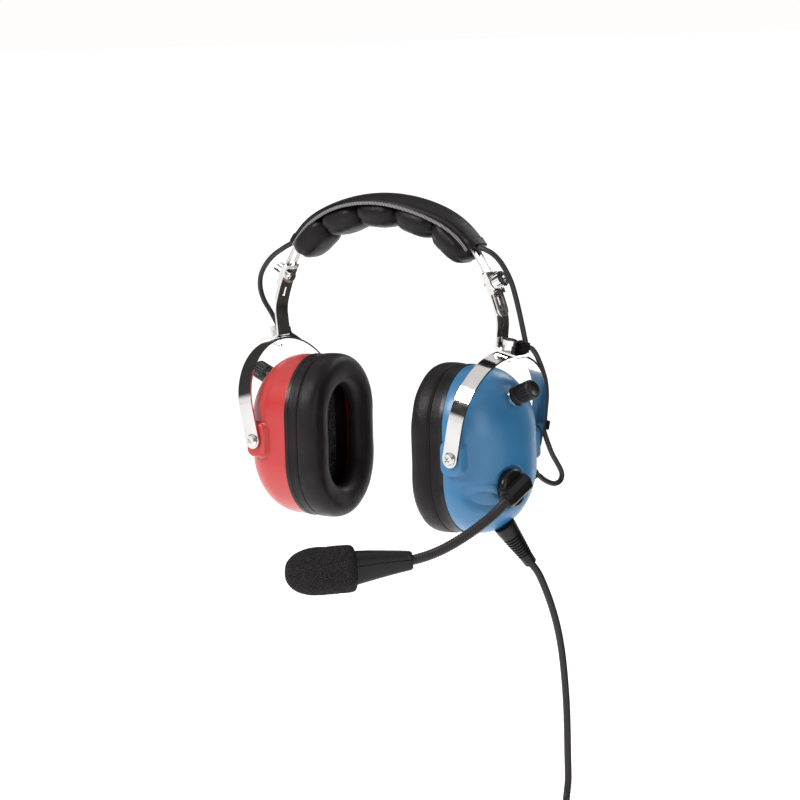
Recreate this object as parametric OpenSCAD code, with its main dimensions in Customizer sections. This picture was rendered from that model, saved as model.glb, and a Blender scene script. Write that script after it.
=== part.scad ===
// Aviation headset: two ear cups in sprung stirrups on a padded headband, with a boom microphone.
// The origin is the middle of the wearer's head, level with the centres of the cups.
// +X is the wearer's left, -Y is forward and +Z is up. Lengths are in millimetres.

/* [Cups] */
// Height of a cup shell
cup_h = 100; // [96:1:104]
// Width of a cup shell, front to back
cup_w = 73; // [70:1:75]
// Distance from the head's centre to the middle of a shell's rim
rim_x = 62; // [61:0.5:63]
// Slant of a shell's rim, which turns both cups' faces the same way about the vertical
rim_slant = 11; // [8:0.5:12]
// Wall thickness of the moulded shells
shell_wall = 2.2; // [1.8:0.1:2.6]
// Height of a cup's tilt axis above the origin
pivot_z = 0; // [-2:0.5:2]
// Distance from the head's centre to a cup's tilt axis
pivot_x = 78; // [77:0.5:79]

/* [Ear seals] */
// Thickness of an ear seal with its plate
seal_t = 24; // [20:0.5:26]
// Outer height of an ear seal
seal_h = 102; // [100:1:106]
// Outer width of an ear seal
seal_w = 76; // [74:1:77]
// Width of the opening in an ear seal
seal_hole_w = 37; // [32:1:42]

/* [Stirrups] */
// Half the distance between a stirrup's legs, at mid thickness
stirrup_r = 40.5; // [40.5:0.1:41]
// Height of the straight part of a stirrup's legs above the tilt axis
stirrup_leg = 19; // [17:0.5:20]
// Lean of a stirrup, outwards at the top
stirrup_lean = 12.5; // [12:0.1:13]
// Width of the stirrup strap
strap_w = 10.5; // [9:0.5:11]
// Thickness of the steel straps and arms
strap_t = 1.2; // [1:0.1:1.2]

/* [Headband] */
// Width of the sprung steel band
band_w = 9.4; // [9:0.1:9.6]
// Radius of the band where the arms slide on it
slide_r = 111.9; // [111:0.1:113]
// Width of the padded cover
cover_w = 29; // [26:1:31]
// Height of the cover above the band
cover_rise = 4.4; // [4.3:0.1:5]
// Depth of the head cushions below the band
lobe_depth = 16.8; // [15:0.2:18]
// Width of an arm
arm_w = 11; // [10:0.5:11]

/* [Controls and microphone] */
// Diameter of a volume knob
knob_d = 11.6; // [10:0.2:12]
// Length of a volume knob
knob_l = 17; // [14:0.5:18]
// Diameter of the boom's hub
hub_d = 23; // [20:0.5:24]
// Diameter of the gooseneck
goose_d = 6; // [5.5:0.1:6.4]
// Diameter of the foam windscreen
foam_d = 27.5; // [24:0.5:29]
// Length of the foam windscreen
foam_l = 40; // [38:1:44]

/* [Cords] */
// Diameter of the main cord
cord_d = 4.4; // [4:0.1:5]
// Diameter of each plug lead
lead_d = 3.6; // [3.2:0.1:4]
// Diameter of the cable that joins the two cups
cross_d = 3.2; // [3:0.1:3.4]
// Length of the straight runs in the stored hank
hank_run = 74; // [66:1:88]

/* [Hidden] */

left = 1;
right = -1;
round_fn = 48;         // facets asked for on round things
gap = 0.3;             // clearance between pieces that move past each other
running = 0.06;        // radial clearance of a shaft that turns in its hole
seat = 0.05;           // clearance between pieces fixed together

// The band's outline: a slide arc each side, a tighter shoulder, and a flat crown
slide_cx = -18.9;
slide_cz = 50;
tip_angle = 15.3;
cover_end = 38;
shoulder_r = 58;
crown_angle = 63;
shoulder_cx = slide_cx + (slide_r - shoulder_r) * cos(cover_end);
shoulder_cz = slide_cz + (slide_r - shoulder_r) * sin(cover_end);
crown_r = shoulder_r + shoulder_cx / cos(crown_angle);
crown_cz = shoulder_cz - shoulder_cx * tan(crown_angle);
crown_arc = (90 - crown_angle) * PI / 180 * crown_r;
lobe_pitch = 31.2;
cover_end_half = 7.5;  // half the cover's width at its ends
cover_under = -1.4;    // the cover's flat face, measured from the band's middle
cable_rise = 2.3;      // the crossover cable's middle, above the band
cable_y = -2;
cable_room = 0.07;
lobe_half_min = 12;    // the end cushions are nearly as wide as the others
band_end = crown_arc + (crown_angle - cover_end) * PI / 180 * shoulder_r;

// The arm: an arc on the band's inner face, a straight shank, and a shelf over the stirrup
arm_r = slide_r - strap_t - gap;
arm_top = 30.1;
arm_bend = 17.5;
shank_lean = -6.5;
shank_bend_r = 24;
shelf_bend_r = 2.6;
shelf_out = 9.6;
lip_turn = 50;
lip_r = 2;
thumb_angle = 26;
arm_slot_angle = 20.5;
screw_r = 2;

stirrup_top = stirrup_leg + stirrup_r;
shelf_z = stirrup_top + strap_t / 2 + gap + strap_t / 2;

// Places on a cup, measured from the origin
dome_x = 69;           // where a shell's straight side meets its dome
dome_depth = 29.5;
dome_skirt = 20;       // length of the straight side, before the slanted rim is cut
dome_power = 2.15;     // 2 is an ellipse, and more is squarer
dome_steps = [0, 0.25, 0.45, 0.62, 0.76, 0.87, 0.94, 0.98];
pad_r = 6.5;           // the raised pad round each pivot screw, and half its straight length
pad_reach = 4;
pad_from = 31.5;
boss_from = 27;        // where the boss inside a pad begins
boss_r = 5;
pivot_from = 29;
plate_t = 2.4;         // thickness of the plate that carries a seal
boss_y = stirrup_r - strap_t / 2 - gap;
knob_base = [94.5, 0, 32.5];
knob_lean = 23;
hub_y = -7.5;
hub_z = -20;
hub_x = 95;
hub_shaft_r = 4;
grommet_at = [78, 35, -19.5];
relief_at = [82, 5.5, -46.5];
relief_end = [89, 20.4, -70.1];
relief_r1 = 6.2;
relief_r2 = 3.1;
pot_hole_r = 3.6;

// The boom, from the hub's collar to the microphone
goose_route = [
    [103, -17, -24.3], [103, -22, -26.6], [101.4, -31.5, -32.4], [97.4, -46, -40], [91.8, -59, -46.4],
    [86, -69.5, -50.6], [80, -79.2, -52.9], [75.5, -83.2, -53.2]
];
boom_tilt = 114.5;     // the boom's direction from the hub, turned forwards from straight up
mic_dir = [-0.745, -0.66, -0.05];
mic_at = [80, -79.2, -52.9];
boom_x = 103;          // the gooseneck's middle where it leaves the clamp
clamp_x = 99;
clamp_w = 11;
clamp_t = 7.6;
clamp_low = -8;
clamp_high = 11.9;
clamp_bevel = 2.6;
collar_l = 3.4;
housing_l = 33;
capsule_r = 4.9;
capsule_l = 14;

// Cable routes. The upper run differs on the two sides because it is flexible
upper_route_left = [
    [72.2, -2, 119.6], [76.2, -2, 119], [81.6, -1.4, 117.2], [86.4, -0.2, 112.8], [89.9, 1.2, 106.9],
    [92.6, 3, 99.4], [94, 4.8, 91], [94.9, 6.4, 83], [95.8, 7.9, 74.5], [97.4, 8.9, 64.5]
];
upper_route_right = [
    [72.2, -2, 119.6], [76, -2.6, 118.4], [82, -2.6, 115.6], [91, -1.6, 111], [99, -0.2, 105],
    [105, 1.4, 98], [107.8, 3.4, 90], [107, 5.4, 82], [103, 7.4, 74], [97.9, 8.8, 64.5]
];
middle_route = [
    [96.8, 13, 60.7], [96.2, 16.5, 59.6], [94.6, 22.5, 55.6], [92.8, 28, 50.4], [91, 33.2, 44.8],
    [88.9, 38.6, 37.4], [86.8, 42.2, 28.6], [85, 43.2, 19.6], [84.2, 43.3, 13.6]
];
lower_route = [
    [83, 43.3, 7.2], [83.8, 44.6, 2.6], [83.4, 47.8, -2.8], [82.2, 52.4, -8.4], [81.2, 57.8, -14],
    [80.4, 62.8, -19.2], [79.8, 65.4, -23.8], [79.2, 63.8, -27.4], [78.6, 58.6, -28.2],
    [78.2, 51, -24.2], [78, 46, -20.6], [78, 41.5, -19.5]
];
cord_route = [
    [89.05, 20.5, -70.3], [91, 25, -77], [93, 29.2, -87.5], [94.6, 33, -99], [96, 36.2, -112],
    [97, 38.6, -127], [97.6, 40.2, -145], [98, 41, -165], [98, 41, -190], [98, 41, -221.9]
];
junction_at = [110, 57.6, -268];
junction_l = 18;
lead_spread = 4.4;     // half the distance between the two leads where they part
plug_spread = 9;
plug_y = 58;
plug_top = -342;
lead_bends = [[5, -8], [6.4, -20], [8, -36], [plug_spread, -54]];

// A lead's route from the junction to its plug; s is its side
function lead_route(s) = concat(
    [junction_at + [s * lead_spread, 0, -0.2]],
    [for (b = lead_bends) [junction_at.x + s * b[0], plug_y, junction_at.z + b[1]]],
    [[junction_at.x + s * plug_spread, plug_y, plug_top + 0.1]]
);

// The stored hank, hanging from the drop of the cord
hank_fold = 13.8;
hank_turns = 5;
hank_w = 2 * hank_fold + cord_d;
hank_t = (hank_turns + 1) * cord_d;
hank_at = [98, 41, -222 - hank_run / 2 - hank_fold - cord_d / 2];
tie_h = 12;
tie_t = 1.2;
plug_d_phone = 6.35;
plug_d_mic = 5.23;

// ---- Helpers ----

// Mirrors a left-hand piece to the right
module side(s) {
    if (s > 0) children();
    else mirror([1, 0, 0]) children();
}

// Turns the +Z axis of its child to point along v
module along(v) {
    rotate([0, acos(v.z / norm(v)), atan2(v.y, v.x)]) children();
}

// Sweeps a flat section, x outwards and y across, round an arc in the XZ plane
module arc_bar(cx, cz, r, a0, a1) {
    translate([cx, 0, cz]) rotate([90, 0, 0]) rotate_extrude(angle = a1 - a0, start = a0, $fn = 180)
        translate([r, 0]) children();
}

// Sweeps a section along the crown and both shoulders of the headband
module along_headband() {
    arc_bar(0, crown_cz, crown_r, crown_angle, 180 - crown_angle) children();
    for (s = [left, right]) side(s)
        arc_bar(shoulder_cx, shoulder_cz, shoulder_r, cover_end, crown_angle) children();
}

// Angle and centre of the headband's arc at a distance along it from the crown
function crown_turn(d) = 90 - d / crown_r * 180 / PI;
function shoulder_turn(d) = crown_angle - (d - crown_arc) / shoulder_r * 180 / PI;

// Places its child on the band at a distance from the crown, with +Z outwards
module on_headband(d) {
    if (d < crown_arc)
        translate([0, 0, crown_cz]) rotate([0, 90 - crown_turn(d), 0]) translate([0, 0, crown_r]) children();
    else
        translate([shoulder_cx, 0, shoulder_cz]) rotate([0, 90 - shoulder_turn(d), 0])
            translate([0, 0, shoulder_r]) children();
}

// Places its child on the slide arc at an angle, with +Z outwards
module on_slide(angle, r) {
    translate([slide_cx, 0, slide_cz]) rotate([0, 90 - angle, 0]) translate([0, 0, r]) children();
}

// A frame on the tilt axis of a cup, leaning with the stirrup
module stirrup_frame() {
    translate([pivot_x, 0, pivot_z]) rotate([0, stirrup_lean, 0]) children();
}

// A slab with two round ends, flat on the YZ plane and thickening towards +X
module stadium(w, h, t) {
    rotate([0, 90, 0]) linear_extrude(t) {
        square([h - w, w], center = true);
        for (z = [-1, 1]) translate([z * (h - w) / 2, 0]) circle(d = w, $fn = round_fn);
    }
}

// Heading a, counted outwards from straight down, as a step in X and Z
function heading(a) = [sin(a), -cos(a)];
function outward(a) = [cos(a), sin(a)];

// Where a bend from heading a to heading b ends
function bend_end(p, a, b, r) =
    let (s = b > a ? 1 : -1) p + s * r * (outward(a) - outward(b));

// Points along an arc in the XZ plane, in n steps
function arc_points(cx, cz, r, a0, a1, n) =
    [for (k = [0 : n]) let (a = a0 + (a1 - a0) * k / n) [cx + r * cos(a), cz + r * sin(a)]];

// Points along a bend that turns from heading a to heading b, starting after p
function bend_points(p, a, b, r, n) =
    let (s = b > a ? 1 : -1, c = p + s * r * outward(a), turn = s > 0 ? 180 : 0)
    [for (k = [1 : n]) let (h = turn + a + (b - a) * k / n) c + r * [cos(h), sin(h)]];

// A line of points moved sideways by off
function strip_side(p, off) = [for (i = [0 : len(p) - 1]) let (t = tangent(p, i)) p[i] + off * [-t.y, t.x]];

// A strap of width w and thickness t along a line of points in the XZ plane
module strip(p, w, t) {
    low = strip_side(p, -t / 2);
    rotate([90, 0, 0]) linear_extrude(w, center = true)
        polygon(concat(strip_side(p, t / 2), [for (i = [len(p) - 1 : -1 : 0]) low[i]]));
}

// A smooth curve through a list of points, n steps to each gap
function spline_point(p, i, t) =
    let (
        a = p[max(i - 1, 0)],
        b = p[i],
        c = p[i + 1],
        d = p[min(i + 2, len(p) - 1)]
    )
    0.5 * (2 * b + (c - a) * t + (2 * a - 5 * b + 4 * c - d) * t * t + (3 * b - a - 3 * c + d) * t * t * t);
function spline(p, n) = [
    for (i = [0 : len(p) - 2]) for (k = [0 : n - 1]) spline_point(p, i, k / n),
    p[len(p) - 1]
];

function unit(v) = v / norm(v);
function tangent(p, i) = unit(p[min(i + 1, len(p) - 1)] - p[max(i - 1, 0)]);
// The side direction of each ring, carried along the curve without twisting
function carried(v, t) = unit(v - (v * t) * t);
function sides_of(p, v, i = 0) =
    let (u = carried(v, tangent(p, i)))
    i == len(p) - 1 ? [u] : concat([u], sides_of(p, u, i + 1));

// A round tube swept along a smooth curve
module tube(points, d, sides, steps, v = [1, 0, 0]) {
    p = spline(points, steps);
    u = sides_of(p, v);
    rings = [
        for (i = [0 : len(p) - 1]) for (k = [0 : sides - 1])
            let (w = cross(tangent(p, i), u[i]), a = 360 * k / sides)
            p[i] + d / 2 * (cos(a) * u[i] + sin(a) * w)
    ];
    last = (len(p) - 1) * sides;
    faces = concat(
        [[for (k = [sides - 1 : -1 : 0]) k]],
        [for (i = [0 : len(p) - 2]) for (k = [0 : sides - 1])
            let (a = i * sides + k, b = i * sides + (k + 1) % sides) [a, b, b + sides, a + sides]],
        [[for (k = [0 : sides - 1]) last + k]]
    );
    polyhedron(points = rings, faces = faces);
}

// ---- Headband ----

// A point on the headband at distance d along it from the crown, raised by off and moved across by y
function headband_point(d, off, y) =
    let (
        s = d < 0 ? -1 : 1,
        on_crown = abs(d) < crown_arc,
        a = on_crown ? crown_turn(abs(d)) : shoulder_turn(abs(d)),
        r = (on_crown ? crown_r : shoulder_r) + off
    )
    [s * ((on_crown ? 0 : shoulder_cx) + r * cos(a)), y, (on_crown ? crown_cz : shoulder_cz) + r * sin(a)];

// Half the cover's width, which narrows towards the ends
function cover_half(x) =
    let (t = min(max((abs(x) - 18) / 54, 0), 1))
    cover_end_half + (cover_w / 2 - cover_end_half) * (0.5 + 0.5 * cos(180 * t));

// Crowned section of the cover, with its flat face towards the head
module cover_section() {
    half = cover_w / 2;
    crown = 30;
    difference() {
        polygon(concat(
            [[cover_under, -half], [cover_under, half]],
            [for (k = [6 : -1 : -6])
                let (y = half * k / 6) [cover_rise - crown + sqrt(crown * crown - y * y), y]]
        ));
        square([strap_t + 2 * seat, band_w + 2 * seat], center = true);
        // The sweep turns the section over, so the cable's side is reversed here
        translate([cable_rise, -cable_y]) square(cross_d + 2 * cable_room, center = true);
    }
}

module head_cover() {
    color([0.14, 0.13, 0.14]) intersection() {
        along_headband() cover_section();
        linear_extrude(200) polygon([
            for (side_y = [-1, 1]) for (k = [-16 : 16])
                let (x = 5 * k * side_y) [x, side_y * (cover_half(x) - 0.4)]
        ]);
    }
}

// A cord along one long edge of the cover
module piping_edge(y) {
    steps = 36;
    tube([
        for (k = [0 : steps])
            let (d = band_end * (2 * k / steps - 1), p = headband_point(d, cover_under + 1.15, 0))
            [p.x, y * (cover_half(p.x) + 0.75), p.z]
    ], 2, 8, 1, [0, 1, 0]);
}

module cover_piping() {
    color([0.45, 0.43, 0.42]) for (y = [-1, 1]) piping_edge(y);
}

// One cushion under the cover, before its top is cut to the cover's flat face
module lobe(half) {
    l = 27.2;
    r = 6.5;
    hull() {
        translate([-l / 2, -half + 0.8, cover_under - 0.4]) cube([l, 2 * half - 1.6, 0.4]);
        translate([-l / 2, -half, cover_under - 5]) cube([l, 2 * half, 0.5]);
        for (x = [-1, 1]) for (y = [-1, 1]) translate([x * 4, y * (half - r - 0.8), -lobe_depth + r])
            sphere(r = r, $fn = 24);
    }
}

module pad_lobes() {
    color([0.16, 0.15, 0.16]) difference() {
        for (k = [-2 : 2]) side(k < 0 ? right : left) on_headband(abs(k) * lobe_pitch)
            lobe(max(cover_half(headband_point(k * lobe_pitch, 0, 0).x) - 0.6, lobe_half_min));
        along_headband() translate([cover_under - seat, -cover_w]) square([10, 2 * cover_w]);
    }
}

module spring_band() {
    half = concat(
        arc_points(slide_cx, slide_cz, slide_r, tip_angle + 2.5, cover_end, 12),
        arc_points(shoulder_cx, shoulder_cz, shoulder_r, cover_end + 2, crown_angle, 12),
        arc_points(0, crown_cz, crown_r, crown_angle + 2, 90, 14)
    );
    slot_top = cover_end + 4;
    slot_w = 4.7;
    slot_low = tip_angle + 2.4;
    color([0.75, 0.75, 0.77]) difference() {
        union() {
            mirrored = [for (i = [len(half) - 2 : -1 : 0]) [-half[i].x, half[i].y]];
            strip(concat(half, mirrored), band_w, strap_t);
            for (s = [left, right]) side(s) on_slide(tip_angle + 2.5, slide_r) translate([0, 0, -strap_t / 2])
                cylinder(d = band_w, h = strap_t, $fn = round_fn);
        }
        for (s = [left, right]) side(s)
            strip(arc_points(slide_cx, slide_cz, slide_r, slot_low, slot_top, 12), slot_w, 2 * strap_t);
    }
}

module crossover_top() {
    steps = 40;
    line = [for (k = [0 : steps]) headband_point(band_end * (2 * k / steps - 1), cable_rise, cable_y)];
    color([0.2, 0.19, 0.19]) tube(line, cross_d, 8, 1, [0, 1, 0]);
}

// One length of the crossover cable along its route
module crossover_run(s, route) {
    color([0.2, 0.19, 0.19]) side(s) tube(route, cross_d, 8, 3);
}

// ---- Arms ----

arm_p0 = [slide_cx, slide_cz] + arm_r * outward(arm_bend);
arm_p1 = bend_end(arm_p0, arm_bend, shank_lean, shank_bend_r);
shelf_a = 90 - stirrup_lean;
swivel = [sin(stirrup_lean), cos(stirrup_lean)];
shelf_bend_drop = bend_end([0, 0], shank_lean, shelf_a, shelf_bend_r) * swivel;
shank_drop = (arm_p1 - [pivot_x, pivot_z]) * swivel + shelf_bend_drop - shelf_z;
shank_l = shank_drop / (-heading(shank_lean) * swivel);
arm_p2 = arm_p1 + shank_l * heading(shank_lean);
arm_p3 = bend_end(arm_p2, shank_lean, shelf_a, shelf_bend_r);
shelf_l = shelf_out - (arm_p3 - [pivot_x, pivot_z]) * heading(shelf_a);
arm_p4 = arm_p3 + shelf_l * heading(shelf_a);
lip_a = shelf_a - lip_turn;

module arm() {
    color([0.78, 0.78, 0.8]) difference() {
        strip(concat(
            arc_points(slide_cx, slide_cz, arm_r, arm_top, arm_bend, 8),
            bend_points(arm_p0, arm_bend, shank_lean, shank_bend_r, 8),
            [arm_p2],
            bend_points(arm_p2, shank_lean, shelf_a, shelf_bend_r, 10),
            [arm_p4],
            bend_points(arm_p4, shelf_a, lip_a, lip_r, 8)
        ), arm_w, strap_t);
        on_slide(thumb_angle, arm_r) cylinder(r = screw_r + running, h = 6, center = true, $fn = round_fn);
        on_slide(arm_slot_angle, arm_r) {
            for (x = [-1, 1]) translate([x * 2.2, 0, 0])
                cylinder(r = 0.8, h = 6, center = true, $fn = round_fn);
            cube([4.4, 1.6, 6], center = true);
        }
        stirrup_frame() translate([0, 0, shelf_z])
            cylinder(r = screw_r + seat, h = 6, center = true, $fn = round_fn);
    }
}

// A plate over the band with two ears that hold it to the arm's edges
module guide_bracket() {
    low = 22.6;
    high = 29.4;
    plate_r = slide_r + strap_t / 2 + gap + 0.5;
    ear_t = (arm_w - band_w) / 2 - running;
    ear_y = (arm_w - ear_t) / 2;
    ear_in = arm_r + strap_t / 2;
    color([0.8, 0.8, 0.82]) difference() {
        union() {
            arc_bar(slide_cx, slide_cz, plate_r, low, high) square([1, arm_w], center = true);
            for (y = [-1, 1]) arc_bar(slide_cx, slide_cz, 0, low, high)
                translate([(plate_r + ear_in) / 2, y * ear_y])
                    square([plate_r - ear_in, ear_t], center = true);
        }
        on_slide(thumb_angle, plate_r) cylinder(r = screw_r + running, h = 6, center = true, $fn = round_fn);
    }
}

// Clamp nut inside the arm, and the swivel screw with its upper and lower nuts
module arm_fasteners() {
    nut_in = arm_r - strap_t / 2 - 3 * seat;
    color([0.7, 0.7, 0.72]) {
        on_slide(thumb_angle, nut_in) translate([0, 0, -2]) difference() {
            cylinder(d = 7.4, h = 2, $fn = round_fn);
            translate([0, 0, -1]) cylinder(r = screw_r + running, h = 4, $fn = round_fn);
        }
        stirrup_frame() {
            translate([0, 0, stirrup_top - 4.6]) cylinder(r = screw_r, h = 13.4, $fn = round_fn);
            translate([0, 0, shelf_z + strap_t / 2 + seat + 3.6]) difference() {
                cylinder(d = 8.4, h = 3, $fn = round_fn);
                translate([0, 0, -1]) cylinder(r = screw_r + seat, h = 3, $fn = round_fn);
                for (a = [0, 90]) rotate(a) translate([-2.4, -0.5, 2.2]) cube([4.8, 1, 2]);
            }
            translate([0, 0, shelf_z + strap_t / 2 + seat]) difference() {
                rotate(30) cylinder(d = 8, h = 3.4, $fn = 6);
                translate([0, 0, -1]) cylinder(r = screw_r + seat, h = 6, $fn = round_fn);
            }
            translate([0, 0, stirrup_top - strap_t / 2 - gap - 2.6]) difference() {
                cylinder(d = 8, h = 2.6, $fn = 6);
                translate([0, 0, -1]) cylinder(r = screw_r + seat, h = 6, $fn = round_fn);
            }
        }
    }
}

// A clip on the shelf's rear edge that holds the crossover cable
module cable_clip_upper() {
    clip_at = [2.4, arm_w / 2 + seat, stirrup_top + strap_t / 2 + gap];
    color([0.12, 0.12, 0.12]) stirrup_frame() translate(clip_at) difference() {
        translate([-3.4, 0, 0]) cube([7, 6.8, 6]);
        translate([-1.2, 0.8, 3]) cube([2.4, 1, 4]);
    }
}

// A fluted screw that clamps the arm to the band
module thumbscrew() {
    flutes = 12;
    head_r = slide_r + strap_t / 2 + gap + 1 + gap;
    tip_r = arm_r - strap_t / 2 - 2.6;
    color([0.82, 0.82, 0.84]) {
        on_slide(thumb_angle, head_r) difference() {
            cylinder(r = 4.9, h = 5.4, $fn = round_fn);
            for (k = [0 : flutes - 1]) rotate(k * 360 / flutes) translate([5.2, 0, 1])
                cylinder(r = 0.7, h = 6, $fn = 16);
            translate([0, 0, 4.6]) cylinder(r = 2.6, h = 2, $fn = round_fn);
            translate([0, 0, -1]) cylinder(r = screw_r, h = 3, $fn = round_fn);
        }
        on_slide(thumb_angle, tip_r) cylinder(r = screw_r, h = head_r - tip_r + 2, $fn = round_fn);
    }
}

// ---- Stirrups ----

module stirrup() {
    color([0.78, 0.78, 0.8]) stirrup_frame() difference() {
        union() {
            translate([0, 0, stirrup_leg]) rotate([90, 0, 90]) rotate_extrude(angle = 180, $fn = 180)
                translate([stirrup_r, 0]) square([strap_t, strap_w], center = true);
            for (y = [-1, 1]) translate([0, y * stirrup_r, 0]) {
                translate([-strap_w / 2, -strap_t / 2, 0]) cube([strap_w, strap_t, stirrup_leg]);
                rotate([90, 0, 0]) cylinder(d = strap_w, h = strap_t, center = true, $fn = round_fn);
            }
        }
        rotate([90, 0, 0]) cylinder(r = screw_r + running, h = 3 * stirrup_r, center = true, $fn = round_fn);
        cylinder(r = screw_r + running, h = 2 * stirrup_top, $fn = round_fn);
    }
}

// A clip on the outer face of the rear leg
module cable_clip_lower() {
    clip_at = [-1.5, stirrup_r + strap_t / 2 + seat, 8.6];
    color([0.12, 0.12, 0.12]) stirrup_frame() translate(clip_at) difference() {
        cube([7.4, 4.4, 5.4]);
        translate([6.4, 1.4, -1]) cube([2, 1.4, 7]);
    }
}

// ---- Cups ----

// Half the section of a shell: x away from the cup's middle line, y outwards from the rim
module dome_section(g) {
    r = cup_w / 2 - g;
    polygon(concat(
        [[0, -dome_skirt], [r, -dome_skirt]],
        [for (t = dome_steps) [r * (1 - t ^ dome_power) ^ (1 / dome_power), t * (dome_depth - g)]],
        [[0, dome_depth - g]]
    ));
}

// The domed form of a shell, drawn in by g all over: two half turns joined by two straight lengths
module dome(g) {
    half = (cup_h - cup_w) / 2;
    translate([dome_x, 0, 0]) rotate([0, 90, 0]) rotate([0, 0, 90]) for (a = [0, 180]) rotate([0, 0, a]) {
        translate([0, half, 0]) rotate_extrude(angle = 180, $fn = 96) dome_section(g);
        translate([0, half, 0]) rotate([90, 0, 0]) linear_extrude(2 * half) dome_section(g);
    }
}

module pivot_holes() {
    translate([pivot_x, 0, pivot_z]) rotate([90, 0, 0])
        cylinder(r = screw_r + seat, h = 3 * boss_y, center = true, $fn = round_fn);
}

// The strain relief's outer cone, grown by g, for the relief and its seat in the shell
module relief_cone(g) {
    axis = relief_end - relief_at;
    translate(relief_at) along(axis)
        cylinder(r1 = relief_r1 + g, r2 = relief_r2 + g, h = norm(axis), $fn = round_fn);
}

module knob_frame() {
    translate(knob_base) rotate([0, 90 - knob_lean, 0]) children();
}

// The slanted plane of a cup's rim, with +X outwards
module rim_frame(s) {
    translate([rim_x, 0, 0]) rotate([0, 0, s * rim_slant]) children();
}

module ear_shell(s) {
    color(s > 0 ? [0.28, 0.54, 0.75] : [0.84, 0.28, 0.27]) difference() {
        union() {
            difference() {
                dome(0);
                difference() {
                    dome(shell_wall);
                    if (s > 0) translate([hub_x - 6, hub_y, hub_z]) rotate([0, 90, 0])
                        cylinder(d = hub_d + 4, h = 12, $fn = round_fn);
                    for (y = [-1, 1]) translate([pivot_x, y * boss_from, pivot_z]) rotate([y * -90, 0, 0])
                        cylinder(r = boss_r, h = cup_w / 2, $fn = round_fn);
                }
            }
            for (y = [-1, 1]) translate([pivot_x, y * pad_from, pivot_z]) rotate([y * -90, 0, 0])
                linear_extrude(boss_y - pad_from) {
                    square([2 * pad_r, 2 * pad_reach], center = true);
                    for (z = [-1, 1]) translate([0, z * pad_reach]) circle(r = pad_r, $fn = round_fn);
                }
            knob_frame() translate([0, 0, -4]) cylinder(r = 7, h = 5 - seat, $fn = round_fn);
        }
        rim_frame(s) translate([-60, -60, -60]) cube([60, 120, 120]);
        pivot_holes();
        knob_frame() cylinder(r = pot_hole_r + seat, h = 24, center = true, $fn = round_fn);
        translate(grommet_at) rotate([-90, 0, 0])
            cylinder(r = 2.8 + seat, h = 12, center = true, $fn = round_fn);
        if (s > 0) {
            translate([hub_x, hub_y, hub_z]) rotate([0, 90, 0]) {
                cylinder(r = hub_shaft_r + running, h = 24, center = true, $fn = round_fn);
                cylinder(d = hub_d + 1, h = 8, $fn = round_fn);
            }
            relief_cone(seat);
        }
    }
}

// Two pan-head screws that a cup tilts on
module pivot_screws() {
    head_y = stirrup_r + strap_t / 2 + gap;
    color([0.7, 0.7, 0.72]) for (y = [-1, 1]) translate([pivot_x, 0, pivot_z]) rotate([y * -90, 0, 0])
        difference() {
            union() {
                translate([0, 0, pivot_from]) cylinder(r = screw_r, h = head_y - pivot_from, $fn = round_fn);
                translate([0, 0, head_y]) cylinder(r1 = 4, r2 = 3.2, h = 2, $fn = round_fn);
            }
            for (a = [45, 135]) rotate(a) translate([-2, -0.4, head_y + 1.1]) cube([4, 0.8, 2]);
        }
}

module seal_plate(s) {
    color([0.1, 0.1, 0.1]) rim_frame(s) difference() {
        translate([-plate_t, 0, 0]) stadium(seal_w - 1, seal_h - 1, plate_t - seat);
        translate([-4, 0, 0]) stadium(seal_hole_w + 10, seal_h - seal_w + seal_hole_w + 10, 6);
    }
}

// Section of an ear seal: x away from the opening's middle line, y from the face towards the shell
module seal_section() {
    thick = seal_t - plate_t - seat;
    r_in = seal_hole_w / 2;
    r_out = seal_w / 2;
    shoulder = 5;
    lip = 5;
    polygon(concat(
        [[r_in, thick], [r_in, lip]],
        [for (a = [15 : 15 : 90]) [r_in + lip * (1 - cos(a)), lip * (1 - sin(a))]],
        [for (a = [0 : 15 : 75]) [r_out - shoulder * (1 - sin(a)), shoulder * (1 - cos(a))]],
        [[r_out, shoulder + 1], [r_out, thick]]
    ));
}

// A padded ring: two half turns joined by two straight lengths
module ear_seal(s) {
    half = (seal_h - seal_w) / 2;
    color([0.15, 0.14, 0.15]) rim_frame(s) translate([-seal_t, 0, 0]) rotate([0, 90, 0]) rotate([0, 0, 90])
        for (a = [0, 180]) rotate([0, 0, a]) {
            translate([0, half, 0]) rotate_extrude(angle = 180, $fn = 96) seal_section();
            translate([0, half, 0]) rotate([90, 0, 0]) linear_extrude(2 * half) seal_section();
        }
}

module liner_foam(s) {
    color([0.2, 0.2, 0.21]) rim_frame(s) translate([2, 0, 0]) stadium(52, 80, 9);
}

// A small driver: basket, magnet and dust cap
module speaker(s) {
    color([0.25, 0.25, 0.26]) rim_frame(s) translate([11.2, 0, 3]) rotate([0, 90, 0]) {
        difference() {
            cylinder(d = 34, h = 3, $fn = round_fn);
            translate([0, 0, -1]) cylinder(d = 30, h = 2.4, $fn = round_fn);
        }
        translate([0, 0, 3]) cylinder(d = 18, h = 4, $fn = round_fn);
    }
}

// Potentiometer body, threaded bushing and shaft, and the ring nut outside the shell
module volume_pot() {
    color([0.6, 0.6, 0.62]) knob_frame() {
        translate([0, 0, -12]) cylinder(d = 12, h = 7, $fn = round_fn);
        translate([0, 0, -5]) cylinder(r = pot_hole_r, h = 7, $fn = round_fn);
        translate([0, 0, 2]) cylinder(r = 3, h = 11, $fn = round_fn);
        translate([0, 0, 1]) difference() {
            cylinder(r = 6.1, h = 1.2, $fn = round_fn);
            translate([0, 0, -1]) cylinder(r = pot_hole_r + seat, h = 4, $fn = round_fn);
        }
    }
}

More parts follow.
